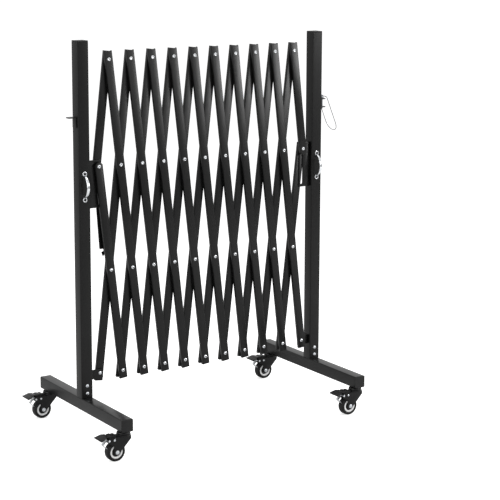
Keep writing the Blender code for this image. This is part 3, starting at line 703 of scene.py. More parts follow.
@dataclass(frozen=True)
class SocketScrew:
    """A button-head screw with a hexagon socket, its form given in shares of radius and height."""

    radius: float
    height: float
    socket: float = 0.42
    flat: float = 0.55
    dome: tuple[tuple[float, float], ...] = ((0.8, 0.84), (0.94, 0.55), (1.0, 0.22), (1.0, 0.0))
    socket_floor: tuple[float, float] = (0.4, 0.25)

    def shape(self) -> BMesh:
        """Makes the head.

        Returns:
            The head, standing on the origin along +Z.
        """
        shape = bmesh.new()
        top = Matrix.Translation((0, 0, self.height))
        loops = [
            bmesh.ops.create_circle(shape, segments=count, radius=self.radius * share, matrix=top)["verts"]
            for count, share in ((6, self.socket), (24, self.flat))
        ]
        inside, outside = ([edge for edge in shape.edges if edge.verts[0] in loop] for loop in loops)
        bmesh.ops.bridge_loops(shape, edges=inside + outside)
        for share, height in self.dome:
            outside = self.drawn_out(shape, outside, self.radius * share, self.height * height)
        share, height = self.socket_floor
        inside = self.drawn_out(shape, inside, self.radius * share, self.height * height)
        bmesh.ops.edgeloop_fill(shape, edges=inside)
        bmesh.ops.edgeloop_fill(shape, edges=outside)
        bmesh.ops.recalc_face_normals(shape, faces=shape.faces)
        return shape

    @staticmethod
    def drawn_out(shape: BMesh, edges: list[BMEdge], radius: float, height: float) -> list[BMEdge]:
        """Extrudes a ring of edges to another radius and height.

        Args:
            shape: The mesh.
            edges: The ring, about the Z axis.
            radius: The new ring's radius.
            height: The new ring's height.

        Returns:
            The new ring.
        """
        made = bmesh.ops.extrude_edge_only(shape, edges=edges)
        verts = new_verts(made)
        now = verts[0].co.xy.length
        bmesh.ops.scale(shape, vec=(radius / now, radius / now, 1), verts=verts)
        bmesh.ops.translate(shape, vec=(0, 0, height - verts[0].co.z), verts=verts)
        ring = set(verts)
        return [item for item in made["geom"] if isinstance(item, BMEdge) and set(item.verts) <= ring]


def looking(direction: Sequence[float], place: Sequence[float]) -> Matrix:
    """Returns the matrix that stands a +Z piece on a place, along a direction."""
    turn = Vector(direction).to_track_quat("Z", "Y").to_matrix().to_4x4()
    return Matrix.Translation(place) @ turn


@dataclass(frozen=True)
class Datum:
    """Places and sizes that several sub-assemblies share."""

    left_x: float
    right_x: float
    tube: float = 0.038
    wall: float = 0.0015
    tube_radius: float = 0.003
    cut_edge: float = 0.0003
    foot_base: float = 0.09
    gap: float = 0.0003
    sheet: float = 0.0025
    pin_reach: float = 0.0325
    pivot_height: float = 0.1975
    plate_front: float = -0.0067
    plate_back: float = -0.0042

    def post_x(self, side: Side) -> float:
        """Returns the middle of a side's post along X."""
        return self.left_x if side is Side.LEFT else self.right_x

    @property
    def half(self) -> float:
        """Returns half the tube's width."""
        return self.tube / 2

    @staticmethod
    def measured() -> "Datum":
        """Reads the posts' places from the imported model.

        Returns:
            The shared places and sizes.
        """
        middles = [sum(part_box(f"{side.word}_post"), Vector()) / 2 for side in (Side.LEFT, Side.RIGHT)]
        return Datum(left_x=middles[0].x, right_x=middles[1].x)


class Pin(Enum):
    """What a lattice pin does behind the front slat: (radius, end) stages, then its tail's radius."""

    RIVET = (((0.004, -0.0042), (0.00275, -0.0021)), 0.005)
    HOOK = (((0.004, -0.0042), (0.00275, -0.0021), (0.004, 0.0061), (0.00275, 0.0087)), 0.0055)
    CATCH = (((0.004, -0.0042), (0.00275, -0.0021), (0.004, 0.0087)), 0.0055)
    BRACKET = (((0.004, -0.0039),), 0.0055)
    PIVOT = (((0.00275, -0.0021),), 0.005)


@dataclass(frozen=True)
class RivetForm:
    """A closed pin: a low domed head with the stub of its mandrel, a shoulder and a rolled tail."""

    head_radius: float = 0.0054
    head_height: float = 0.0022
    mandrel_radius: float = 0.0018
    floor_share: float = 0.2
    tail_height: float = 0.002
    round: float = 0.0004
    dome: tuple[tuple[float, float], ...] = ((0.5, 0.96), (0.75, 0.74), (0.92, 0.4), (1.0, 0.12), (0.98, 0.0))

    def shape(self, front: float, stages: Sequence[tuple[float, float]], tail_radius: float) -> BMesh:
        """Makes one pin about the Y axis.

        Args:
            front: The face that the head sits on.
            stages: Radius and end of each stage behind the face.
            tail_radius: The rolled tail's radius.

        Returns:
            The pin at x = 0 and z = 0.
        """
        high, wide, hole = self.head_height, self.head_radius, self.mandrel_radius
        profile = [
            Corner(0, front - high * self.floor_share),
            Corner(hole, front - high * self.floor_share),
            Corner(hole * 1.1, front - high * 0.93),
            Corner(hole * 1.5, front - high),
            *(Corner(wide * out, front - high * up) for out, up in self.dome),
        ]
        along = front
        for radius, end in stages:
            profile += [Corner(radius, along), Corner(radius, end)]
            along = end
        tail = along + self.tail_height
        profile += [
            Corner(tail_radius, along, self.round),
            Corner(tail_radius, tail, self.round * 2),
            Corner(tail_radius * 0.45, tail, self.round),
            Corner(tail_radius * 0.3, tail - self.tail_height * 0.4),
            Corner(0, tail - self.tail_height * 0.4),
        ]
        return turned(profile, Axis.Y)

    def mandrel(self, front: float) -> BMesh:
        """Makes the broken end of the mandrel, low in the head's hole.

        Args:
            front: The face that the head sits on.

        Returns:
            The stub at x = 0 and z = 0.
        """
        floor, wide = front - self.head_height * self.floor_share, self.mandrel_radius * 0.9
        top = front - self.head_height * 0.7
        profile = [Corner(0, floor), Corner(wide, floor), Corner(wide, top, 0.0003), Corner(0, top)]
        return turned(profile, Axis.Y)


class Layer(Enum):
    """A layer of the lattice, with the sign of its lean and the Y of its webs."""

    FRONT = (1, -0.017)
    REAR = (-1, -0.0039)

    @property
    def lean(self) -> int:
        """Returns 1 where the lower end lies further along +X."""
        return self.value[0]

    @property
    def web(self) -> float:
        """Returns the Y of the webs' front faces."""
        return self.value[1]


@dataclass(frozen=True)
class Slat:
    """One slat: its layer and number, where its first hole is, and how its ends are cut."""

    layer: Layer
    number: int
    column: int
    row: int
    holes: int
    top_end: float = 0.025
    bottom_end: float = 0.025
    round_top: bool = False
    round_bottom: bool = False
    pins: tuple[Pin, ...] = ()

    @property
    def name(self) -> str:
        """Returns the slat's name, which is also its node's and its body's."""
        return f"{self.layer.name.lower()}_slat_{self.number:02d}"


@dataclass(frozen=True)
class Lattice:
    """The folding lattice: two layers of channel slats, and the pins that join them."""

    datum: Datum
    hole_pitch: float = 0.325
    tilt: float = math.radians(6.63)
    rows: int = 4
    columns: int = 20
    width: float = 0.026
    depth: float = 0.01
    sheet: float = 0.0015
    bend: float = 0.002
    long_end: float = 0.02
    rivet: RivetForm = RivetForm()

    def slats(self) -> list[Slat]:
        """Lists the slats of both layers.

        Returns:
            Eleven front slats and eleven rear ones, from the left.
        """
        full = (Pin.RIVET,) * self.rows
        last = self.columns - 1
        front, rear = Layer.FRONT, Layer.REAR
        pins = (Pin.HOOK, Pin.RIVET, Pin.RIVET)
        found = [
            Slat(front, 1, 0, 2, 3, top_end=self.width / 2, round_top=True, pins=pins),
            Slat(rear, 1, 1, 1, 2, bottom_end=self.long_end),
        ]
        for number in range(2, 11):
            column = 2 * number - 3
            pins = full[:-1] + (Pin.BRACKET,) if column == last - 2 else full
            found.append(Slat(front, number, column, 1, self.rows, pins=pins))
            found.append(Slat(rear, number, column + 2, 1, self.rows))
        pins = (Pin.RIVET, Pin.CATCH)
        found.append(Slat(front, 11, last, 1, 2, bottom_end=self.long_end, round_bottom=True, pins=pins))
        found.append(Slat(rear, 11, self.columns, 2, 3, top_end=self.long_end))
        return found

    def row_height(self, row: int) -> float:
        """Returns the height of a row of pins, counted from the top."""
        return self.datum.pivot_height + (self.rows - row) * self.hole_pitch * math.cos(self.tilt)

    def place(self, slat: Slat) -> Matrix:
        """Finds where a slat hangs by its first hole, at its rest tilt.

        Args:
            slat: The slat.

        Returns:
            The matrix that brings it there from the origin.
        """
        x = self.datum.left_x + self.datum.half + self.datum.pin_reach
        x += slat.column * self.hole_pitch * math.sin(self.tilt)
        z = self.row_height(slat.row)
        return Matrix.Translation((x, 0, z)) @ Matrix.Rotation(-slat.layer.lean * self.tilt, 4, "Y")

    def channel(self, slat: Slat) -> BMesh:
        """Makes a slat's channel, rolled from strip.

        Args:
            slat: The slat.

        Returns:
            The channel, its first hole at the origin, its web to the front.
        """
        half, inner = self.width / 2, self.width / 2 - self.sheet
        web, back = slat.layer.web, slat.layer.web + self.depth
        tip, inside = self.sheet * 0.3, self.bend - self.sheet * 0.8
        section = [
            Corner(-half, web, self.bend),
            Corner(half, web, self.bend),
            Corner(half, back, tip),
            Corner(inner, back, tip),
            Corner(inner, web + self.sheet, inside),
            Corner(-inner, web + self.sheet, inside),
            Corner(-inner, back, tip),
            Corner(-half, back, tip),
        ]
        low = -(slat.holes - 1) * self.hole_pitch - slat.bottom_end
        shape = plate(section, Axis.Z, low, slat.top_end, segments=4)
        if slat.round_top:
            self.rounded_end(shape, slat.top_end - half, 1)
        if slat.round_bottom:
            self.rounded_end(shape, low + half, -1)
        return softened(shape, self.sheet * 0.2, limit=CREASE)

    def rounded_end(self, shape: BMesh, height: float, way: int, steps: int = 12) -> None:
        """Cuts a half-round end with a fan of planes.

        Args:
            shape: The channel's mesh.
            height: The height of the round end's centre.
            way: 1 for a top end and -1 for a bottom one.
            steps: Steps round the end.
        """
        half = self.width / 2
        for step in range(1, steps):
            angle = math.pi * step / steps
            normal = Vector((math.cos(angle), 0, way * math.sin(angle)))
            bmesh.ops.bisect_plane(
                shape,
                geom=shape.verts[:] + shape.edges[:] + shape.faces[:],
                dist=MERGE,
                plane_co=Vector((0, 0, height)) + normal * half,
                plane_no=normal,
                clear_outer=True,
            )
            bmesh.ops.holes_fill(shape, edges=[edge for edge in shape.edges if edge.is_boundary])
        bmesh.ops.recalc_face_normals(shape, faces=shape.faces)

    def build(self) -> None:
        """Makes every slat, and the pins that each front slat carries."""
        for slat in self.slats():
            place = self.place(slat)
            channel = moved(self.channel(slat), place)
            fitted(slat.name + "_channel", channel, COAT, slat.name, [slat.name])
            if not slat.pins:
                continue
            web = slat.layer.web
            spots = [Matrix.Translation((0, 0, -index * self.hole_pitch)) for index in range(len(slat.pins))]
            rivets = [self.rivet.shape(web, *pin.value) for pin in slat.pins]
            stubs = [self.rivet.mandrel(web) for _ in slat.pins]
            # The mandrel stubs are near black: painted shade for the dark inside each rivet's hole.
            for word, shapes, finish in (("rivets", rivets, RIVET_ZINC), ("mandrels", stubs, PAINTED_SHADE_STEEL)):
                whole = united(moved(shape, spot) for shape, spot in zip(shapes, spots))
                fitted(f"{slat.name}_{word}", moved(whole, place), finish, slat.name)


@dataclass(frozen=True)
class SideAssembly:
    """A sub-assembly of one side, built about the middle of that side's post."""

    datum: Datum
    side: Side

    @property
    def body(self) -> str:
        """Returns the body of the side's frame."""
        return f"{self.side.word}_frame"

    @property
    def place(self) -> Matrix:
        """Returns the matrix that brings a shape from the origin to its place on the side."""
        return Matrix.Translation((self.datum.post_x(self.side), 0, 0))

    def mount(self, word: str, shape: BMesh, finish: Finish, *nodes: str, body: str = "") -> None:
        """Moves a shape to its place and fits it there, with the side in front of its name.

        Args:
            word: The piece's name after the side.
            shape: Its mesh, about the origin.
            finish: What it is made of.
            *nodes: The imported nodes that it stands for, without the side.
            body: The body that it moves with, without the side, if not the frame.
        """
        side = self.side.word
        carrier = f"{side}_{body}" if body else self.body
        named = [f"{side}_{node}" for node in nodes]
        fitted(f"{side}_{word}", moved(shape, self.place), finish, carrier, named)


@dataclass(frozen=True)
class Upright(SideAssembly):
    """A post with its top cap."""

    base: float = 0.1283
    top: float = 1.2212
    height: float = 1.225
    plug_depth: float = 0.012
    plug_well: float = 0.85
    dome: float = 0.0012

    def cap(self) -> BMesh:
        """Makes the moulded cap: a crowned lid and a hollow plug below it.

        Returns:
            The cap about the Z axis.
        """
        datum = self.datum
        radius, base = datum.tube_radius, self.top + datum.gap
        lid = plate(square(datum.half, radius), Axis.Z, base, self.height)
        softened(lid, self.dome, 3, CREASE)
        inner = datum.half - datum.wall - datum.gap
        well = square(inner * self.plug_well, radius / 3)
        plug = plate(square(inner, radius / 2), Axis.Z, self.top - self.plug_depth, base, [well])
        return united([lid, plug])

    def build(self) -> None:
        """Makes the post and its cap."""
        datum = self.datum
        tube = square_tube(datum.half, datum.wall, datum.tube_radius, Axis.Z, self.base, self.top)
        self.mount("post_tube", softened(tube, datum.cut_edge, 1, CREASE), COAT, "post")
        self.mount("post_lid", self.cap(), CAP_PLASTIC, "post_cap")


@dataclass(frozen=True)
class Foot(SideAssembly):
    """A foot: square tube with moulded end plugs, a spigot and two cross bolts into the post."""

    length: float = 0.55
    flange: float = 0.003
    flange_dome: float = 0.0011
    neck_depth: float = 0.012
    neck_radius: float = 0.0015
    neck_well: float = 0.86
    spigot_top: float = 0.198
    spigot_wall: float = 0.002
    spigot_radius: float = 0.0025
    bolt_heights: tuple[float, ...] = (0.143, 0.167)
    bolt_radius: float = 0.0055
    washer_height: float = 0.0007
    screw: SocketScrew = SocketScrew(0.00506, 0.0023)
    nut: Nut = Nut(0.0054, 0, 0.0021, (0.003, 0.003), 0.0023)

    def tube(self) -> BMesh:
        """Makes the tube and its spigot.

        Returns:
            The welded tube, with the post's axis as its Z axis.
        """
        datum, reach = self.datum, self.length / 2 - self.flange
        tube = square_tube(datum.half, datum.wall, datum.tube_radius, Axis.Y, -reach, reach)
        softened(tube, datum.cut_edge, 1, CREASE)
        moved(tube, Matrix.Translation((0, 0, datum.foot_base + datum.half)))
        inner, top = datum.half - datum.wall - datum.gap, datum.foot_base + datum.tube
        spigot = square_tube(
            inner, self.spigot_wall, self.spigot_radius, Axis.Z, top - datum.wall, self.spigot_top
        )
        return united([tube, spigot])

    def plugs(self) -> BMesh:
        """Makes the plugs at both ends.

        Returns:
            Both plugs, each a crowned flange and a hollow neck inside the tube.
        """
        half, reach = self.datum.half, self.length / 2
        inner = half - self.datum.wall - self.datum.gap
        middle = self.datum.foot_base + half
        seat = reach - self.flange
        made = []
        for way in (-1, 1):
            outline = square(half, self.datum.tube_radius, middle)
            flange = plate(outline, Axis.Y, way * (seat + 0.0001), way * reach)
            made.append(softened(flange, self.flange_dome, 3, CREASE))
            neck = square(inner, self.neck_radius, middle)
            well = square(inner * self.neck_well, 0.001, middle)
            made.append(plate(neck, Axis.Y, way * (seat - self.neck_depth), way * (seat + 0.0002), [well]))
        return united(made)

    def bolts(self) -> BMesh:
        """Makes the cross bolts: button heads to the front, hexagon nuts to the back.

        Returns:
            Both bolts with their washers, about the post's axis.
        """
        face = self.datum.half + self.datum.gap / 2
        made = []
        for height in self.bolt_heights:
            for way, part in ((-1, self.screw), (1, self.nut)):
                disc = washer(self.bolt_radius, self.washer_height)
                made.append(moved(disc, looking((0, way, 0), (0, way * face, height))))
                seat = way * (face + self.washer_height)
                made.append(moved(part.shape(), looking((0, way, 0), (0, seat, height))))
        return united(made)

    def build(self) -> None:
        """Makes the foot's tube, plugs and bolts."""
        self.mount("foot_tube", self.tube(), COAT, "foot")
        self.mount("foot_plugs", self.plugs(), CAP_PLASTIC)
        self.mount("foot_bolts", self.bolts(), BOLT_ZINC)


@dataclass(frozen=True)
class AngleBracket(SideAssembly):
    """A bent angle on a post's inner face, whose plate goes between the slat layers."""

    kind: Bracket
    reach: float = 0.0425
    back: float = 0.017
    bend: float = 0.0012
    corner: float = 0.003
    edge: float = 0.0004
    slot: tuple[float, float] = (0.72945, 0.84746)
    slot_radius: float = 0.0043
    screw: SocketScrew = SocketScrew(0.0042, 0.0021)
    screw_y: float = 0.0062

    @property
    def place(self) -> Matrix:
        """Returns the post's place, mirrored for the right post."""
        return super().place @ Matrix.Scale(self.side.value, 4, (1, 0, 0))

    def angle(self) -> BMesh:
        """Makes the angle for a post on the left of its lattice, about the post's axis.

        Returns:
            The plate with its slot, the bend and the leg.
        """
        datum = self.datum
        low, high, _ = self.kind.value
        start = datum.half + datum.gap + datum.sheet + self.bend
        tip, pin = datum.half + self.reach, datum.half + datum.pin_reach
        corners = [
            Corner(start, low), Corner(tip, low, self.corner), Corner(tip, high, self.corner),
            Corner(start, high),
        ]
        holes = []
        if self.kind is Bracket.SLOT:
            bottom, top = self.slot
            holes.append(round_hole(pin, (bottom + top) / 2, self.slot_radius, (top - bottom) / 2))
        elif self.side is Side.RIGHT:
            holes.append(round_hole(pin, datum.pivot_height, self.slot_radius))
        shape = plate(corners, Axis.Y, datum.plate_front, datum.plate_back, holes)
        turn_y = datum.plate_back + self.bend
        run = (0, self.back - turn_y, 0)
        swept_face(shape, facing(0, start), (start, turn_y, 0), (0, 0, 1), -math.pi / 2, run)
        return softened(shape, self.edge)

    def screws(self) -> BMesh:
        """Makes the screws through the leg.

        Returns:
            Their heads on the leg's lattice side.
        """
        seat = self.datum.half + self.datum.gap + self.datum.sheet
        spots = (looking((1, 0, 0), (seat, self.screw_y, height)) for height in self.kind.value[-1])
        return united(moved(self.screw.shape(), spot) for spot in spots)

    def build(self) -> None:
        """Makes the angle and its screws."""
        datum, word = self.datum, f"{self.kind.name.lower()}_bracket"
        self.mount(word + "_angle", self.angle(), COAT, word)
        self.mount(word + "_screws", self.screws(), DULL_NICKEL)
        if self.side is Side.LEFT and self.kind is Bracket.PIVOT:
            pin = RivetForm().shape(datum.plate_front, *Pin.PIVOT.value)
            spot = Matrix.Translation((datum.half + datum.pin_reach, 0, datum.pivot_height))
            self.mount(word + "_pin", moved(pin, spot), RIVET_ZINC)


@dataclass(frozen=True)
class PullHandle(SideAssembly):
    """A cast and chromed bow handle with a round pad and a socket screw at each end."""

    height: float = 0.786
    screw_pitch: float = 0.079
    pad_radius: float = 0.0075
    pad_height: float = 0.003
    bow: float = 0.027
    width: float = 0.009
    thickness: float = 0.0042
    foot_reach: float = 0.0345
    foot_share: float = 0.62
    sunk: float = 0.3
    well: tuple[float, float] = (0.0042, 0.0036)
    screw: SocketScrew = SocketScrew(0.0034, 0.0016)

    def arch(self) -> BMesh:
        """Makes the bow, slimmer at its feet than in the middle.

        Returns:
            The bow about the post's axis, at the handle's height.
        """
        face = -self.datum.half - self.datum.gap
        middle = self.thickness / 2
        rise = self.bow - middle - self.pad_height * self.sunk
        radius = (self.foot_reach**2 + rise**2) / (2 * rise)
        centre_y = face - self.bow + middle + radius
        angle = math.asin(self.foot_reach / radius)
        shape = bmesh.new()
        rounded_loop(shape, rectangle(self.width / 2, middle, self.thickness * 0.42), Axis.Z, 0, 4)
        bmesh.ops.edgeloop_fill(shape, edges=shape.edges[:])
        bmesh.ops.translate(shape, verts=shape.verts, vec=(0, -radius, 0))
        bmesh.ops.rotate(shape, verts=shape.verts, cent=(0, 0, 0), matrix=Matrix.Rotation(-angle, 3, "X"))
        start, axis = shape.faces[:], (1, 0, 0)
        bmesh.ops.spin(
            shape, geom=start, cent=(0, 0, 0), axis=axis, angle=2 * angle, steps=28, use_duplicate=False
        )
        bmesh.ops.recalc_face_normals(shape, faces=shape.faces)
        for vert in shape.verts:
            share = 1 - (vert.co.z / self.foot_reach) ** 2
            vert.co.x *= self.foot_share + (1 - self.foot_share) * max(share, 0) ** 0.5
        return moved(shape, Matrix.Translation((0, centre_y, self.height)))

    def pad(self, height: float) -> BMesh:
        """Makes a pad with its countersunk well.

        Args:
            height: The pad's height.

        Returns:
            The pad on the post's front face.
        """
        top, radius, (well, floor) = self.pad_height, self.pad_radius, self.well
        profile = [
            Corner(0, 0), Corner(radius, 0, 0.0003), Corner(radius, top, 0.0011),
            Corner(well, top, 0.0004), Corner(floor, top * 0.35), Corner(0, top * 0.35),
        ]
        face = -self.datum.half - self.datum.gap
        return moved(turned(profile, steps=32), looking((0, -1, 0), (0, face, height)))

    def build(self) -> None:
        """Makes the handle and its screws."""
        heights = [self.height + end * self.screw_pitch / 2 for end in (-1, 1)]
        grip = united([self.arch(), *(self.pad(height) for height in heights)])
        self.mount("handle_grip", grip, CHROME, "pull_handle")
        seat = -self.datum.half - self.datum.gap - self.pad_height * self.sunk
        spots = (looking((0, -1, 0), (0, seat, height)) for height in heights)
        heads = united(moved(self.screw.shape(), spot) for spot in spots)
        # The screw heads are near black: painted shade for the shadow in each pad's well.
        self.mount("handle_screws", heads, PAINTED_SHADE_STEEL)


@dataclass(frozen=True)
class FoldHook:
    """The flat bar that hangs on the left slot pin and catches the right one when folded."""

    datum: Datum
    pivot_height: float
    pitch: float = 0.264
    width: float = 0.019
    front: float = 0.0064
    back: float = 0.0084
    tilt: float = math.radians(4.2)
    pin_play: float = 0.0043
    pivot_radius: float = 0.00305
    prong: float = 0.0035
    prong_end: float = 0.0025
    tip: float = 0.021

    def build(self) -> None:
        """Makes the hook, cut from strip and coated."""
        half, pin, pitch, prong = self.width / 2, self.pin_play, self.pitch, self.prong
        corners = [
            Corner(-half, half, half), Corner(half, half, half),
            Corner(half, self.tip / 2 - pitch - self.tip, 0.006), Corner(0, -pitch - self.tip, 0.003),
            Corner(-prong, -pitch - pin - self.prong_end, 0.0008), Corner(-prong, -pitch - pin, 0.0008),
            Corner(pin, -pitch - pin, pin), Corner(pin, pin - pitch, pin), Corner(-half, pin - pitch, 0.004),
        ]
        shape = plate(corners, Axis.Y, self.front, self.back, [round_hole(0, 0, self.pivot_radius)])
        softened(shape, self.datum.cut_edge)
        x = self.datum.left_x + self.datum.half + self.datum.pin_reach
        place = Matrix.Translation((x, 0, self.pivot_height)) @ Matrix.Rotation(-self.tilt, 4, "Y")
        fitted("fold_hook_bar", moved(shape, place), COAT, "fold_hook", ["fold_hook"])


@dataclass(frozen=True)
class Coupling:
    """What joins two barriers: tongue, clevis, lock pin and pull ring."""

    datum: Datum
    width: float = 0.024
    sheet: float = 0.003
    bend: float = 0.001
    pin_out: float = 0.0135
    tongue_length: float = 0.0265
    tongue_top: float = 0.997
    tongue_drop: float = 0.032
    clevis_length: float = 0.0225
    clevis_top: float = 1.0035
    clevis_depth: float = 0.0295
    corner: float = 0.006
    edge: float = 0.0004
    pin_radius: float = 0.003
    pin_play: float = 0.0003
    pin_below: float = 0.006
    chamfer: float = 0.0015
    collar: tuple[float, float] = (0.006, 0.003)
    eye_half: float = 0.0043
    eye_top: float = 0.0115
    eye_thickness: float = 0.0048
    eye_height: float = 0.00725
    eye_play: float = 0.0004
    tongue_hole: float = 0.0035
    wire: float = 0.0011
    ring_half: float = 0.027
    ring_length: float = 0.125
    ring_corner: float = 0.006
    ring_tilt: float = math.radians(22.5)

    def ear(self, length: float, top: float, hole: float, run: float) -> BMesh:
        """Makes a drilled ear that is bent down to a leg on the post.

        Args:
            length: The ear's reach from the post.
            top: The height of its upper face.
            hole: The radius of its hole.
            run: The height of the leg below the bend.

        Returns:
            The ear, reaching along +X from the face at x = 0.
        """
        half, start = self.width / 2, self.sheet + self.bend
        outline = [
            Corner(start, -half), Corner(length, -half, self.corner), Corner(length, half, self.corner),
            Corner(start, half),
        ]
        drilled = [round_hole(self.pin_out - self.datum.gap, 0, hole)]
        shape = plate(outline, Axis.Z, top - self.sheet, top, drilled)
        centre = (start, 0, top - self.sheet - self.bend)
        return swept_face(shape, facing(0, start), centre, (0, 1, 0), -math.pi / 2, (0, 0, -run))

    def tongue(self) -> BMesh:
        """Makes the tongue, for a post face at x = 0 with the tongue along +X."""
        run = self.tongue_drop - self.sheet - self.bend
        return softened(self.ear(self.tongue_length, self.tongue_top, self.tongue_hole, run), self.edge)

    def clevis(self) -> BMesh:
        """Makes the clevis: one ear and half the back, mirrored at its middle height.

        Returns:
            The clevis, for a post face at x = 0 with its ears along +X.
        """
        run = self.clevis_depth / 2 - self.sheet - self.bend
        shape = self.ear(self.clevis_length, self.clevis_top, self.pin_radius + self.pin_play, run)
        middle = self.clevis_top - self.clevis_depth / 2
        seam = [face for face in shape.faces if facing(2, middle)(face)]
        bmesh.ops.delete(shape, geom=seam, context="FACES_ONLY")
        mirror = Matrix.Translation((0, 0, 2 * middle)) @ Matrix.Scale(-1, 4, (0, 0, 1))
        whole = united([shape, moved(shape.copy(), mirror)])
        bmesh.ops.remove_doubles(whole, verts=whole.verts, dist=MERGE)
        bmesh.ops.recalc_face_normals(whole, faces=whole.faces)
        return softened(whole, self.edge)

    def pin(self) -> BMesh:
        """Makes the lock pin: a chamfered shank, a collar and a flattened, drilled eye.

        Returns:
            The pin about the Z axis.
        """
        radius, (wide, high) = self.pin_radius, self.collar
        seat, foot = self.clevis_top + self.datum.gap, self.clevis_top - self.clevis_depth - self.pin_below
        shank = turned(
            [
                Corner(0, foot), Corner(radius * 0.6, foot), Corner(radius, foot + self.chamfer),
                Corner(radius, seat), Corner(wide, seat, self.edge), Corner(wide, seat + high, 2 * self.edge),
                Corner(0, seat + high),
            ]
        )
        half, base, top = self.eye_half, seat + high - 0.0005, seat + self.eye_top
        outline = [
            Corner(-half, base), Corner(half, base), Corner(half, top, half - 0.0001),
            Corner(-half, top, half - 0.0001),
        ]
        eye, thick = round_hole(0, seat + self.eye_height, self.wire + self.eye_play), self.eye_thickness / 2
        return united([shank, softened(plate(outline, Axis.Y, -thick, thick, [eye]), 0.0005)])

    def ring(self) -> BMesh:
        """Bends the pull ring from wire: a bar through the eye, two legs and a round end.

        Returns:
            The closed ring in the YZ plane, hanging from the origin.
        """
        half, corner, straight = self.ring_half, self.ring_corner, self.ring_length - self.ring_half
        shape = bmesh.new()
        start = Axis.Y.from_z()
        bmesh.ops.create_circle(shape, cap_ends=True, segments=12, radius=self.wire, matrix=start)
        side = half - corner
        moves: tuple[tuple, ...] = (
            ((0, side, 0),),
            ((side, -corner), math.pi / 2, 5),
            ((0, 0, corner - straight),),
            ((0, -straight), math.pi, 18),
            ((0, 0, straight - corner),),
            ((-side, -corner), math.pi / 2, 5),
            ((0, side, 0),),
        )
        last = shape.faces[:]
        for move in moves:
            if len(move) == 1:
                made = bmesh.ops.extrude_face_region(shape, geom=last)
                bmesh.ops.translate(shape, verts=new_verts(made), vec=move[0])
                ends = made["geom"]
            else:
                (y, z), angle, steps = move
                bend = {"cent": (0, y, z), "axis": (-1, 0, 0), "angle": angle, "steps": steps}
                ends = bmesh.ops.spin(shape, geom=last, use_duplicate=False, **bend)["geom_last"]
            last = [item for item in ends if isinstance(item, BMFace)]
        caps = [face for face in shape.faces if len(face.verts) == 12]
        bmesh.ops.delete(shape, geom=caps, context="FACES_ONLY")
        bmesh.ops.remove_doubles(shape, verts=shape.verts, dist=MERGE)
        bmesh.ops.recalc_face_normals(shape, faces=shape.faces)
        return shape

    def build(self) -> None:
        """Makes the tongue, the clevis, the lock pin and the pull ring."""
        datum = self.datum
        reach = datum.half + datum.gap
        left = Matrix.Translation((datum.left_x - reach, 0, 0)) @ Matrix.Scale(-1, 4, (1, 0, 0))
        right = Matrix.Translation((datum.right_x + reach, 0, 0))
        fitted("tongue_tab", moved(self.tongue(), left), COAT, "left_frame", ["coupling_tongue"])
        fitted("clevis_ears", moved(self.clevis(), right), COAT, "right_frame", ["coupling_clevis"])
        place = Matrix.Translation((datum.right_x + datum.half + self.pin_out, 0, 0))
        fitted("lock_pin_shank", moved(self.pin(), place), DULL_NICKEL, "lock_pin", ["lock_pin"])
        eye = Matrix.Translation((0, 0, self.clevis_top + datum.gap + self.eye_height))
        hung = place @ eye @ Matrix.Rotation(-self.ring_tilt, 4, "Y")
        fitted("pull_ring_wire", moved(self.ring(), hung), DULL_NICKEL, "pull_ring", ["pull_ring"])


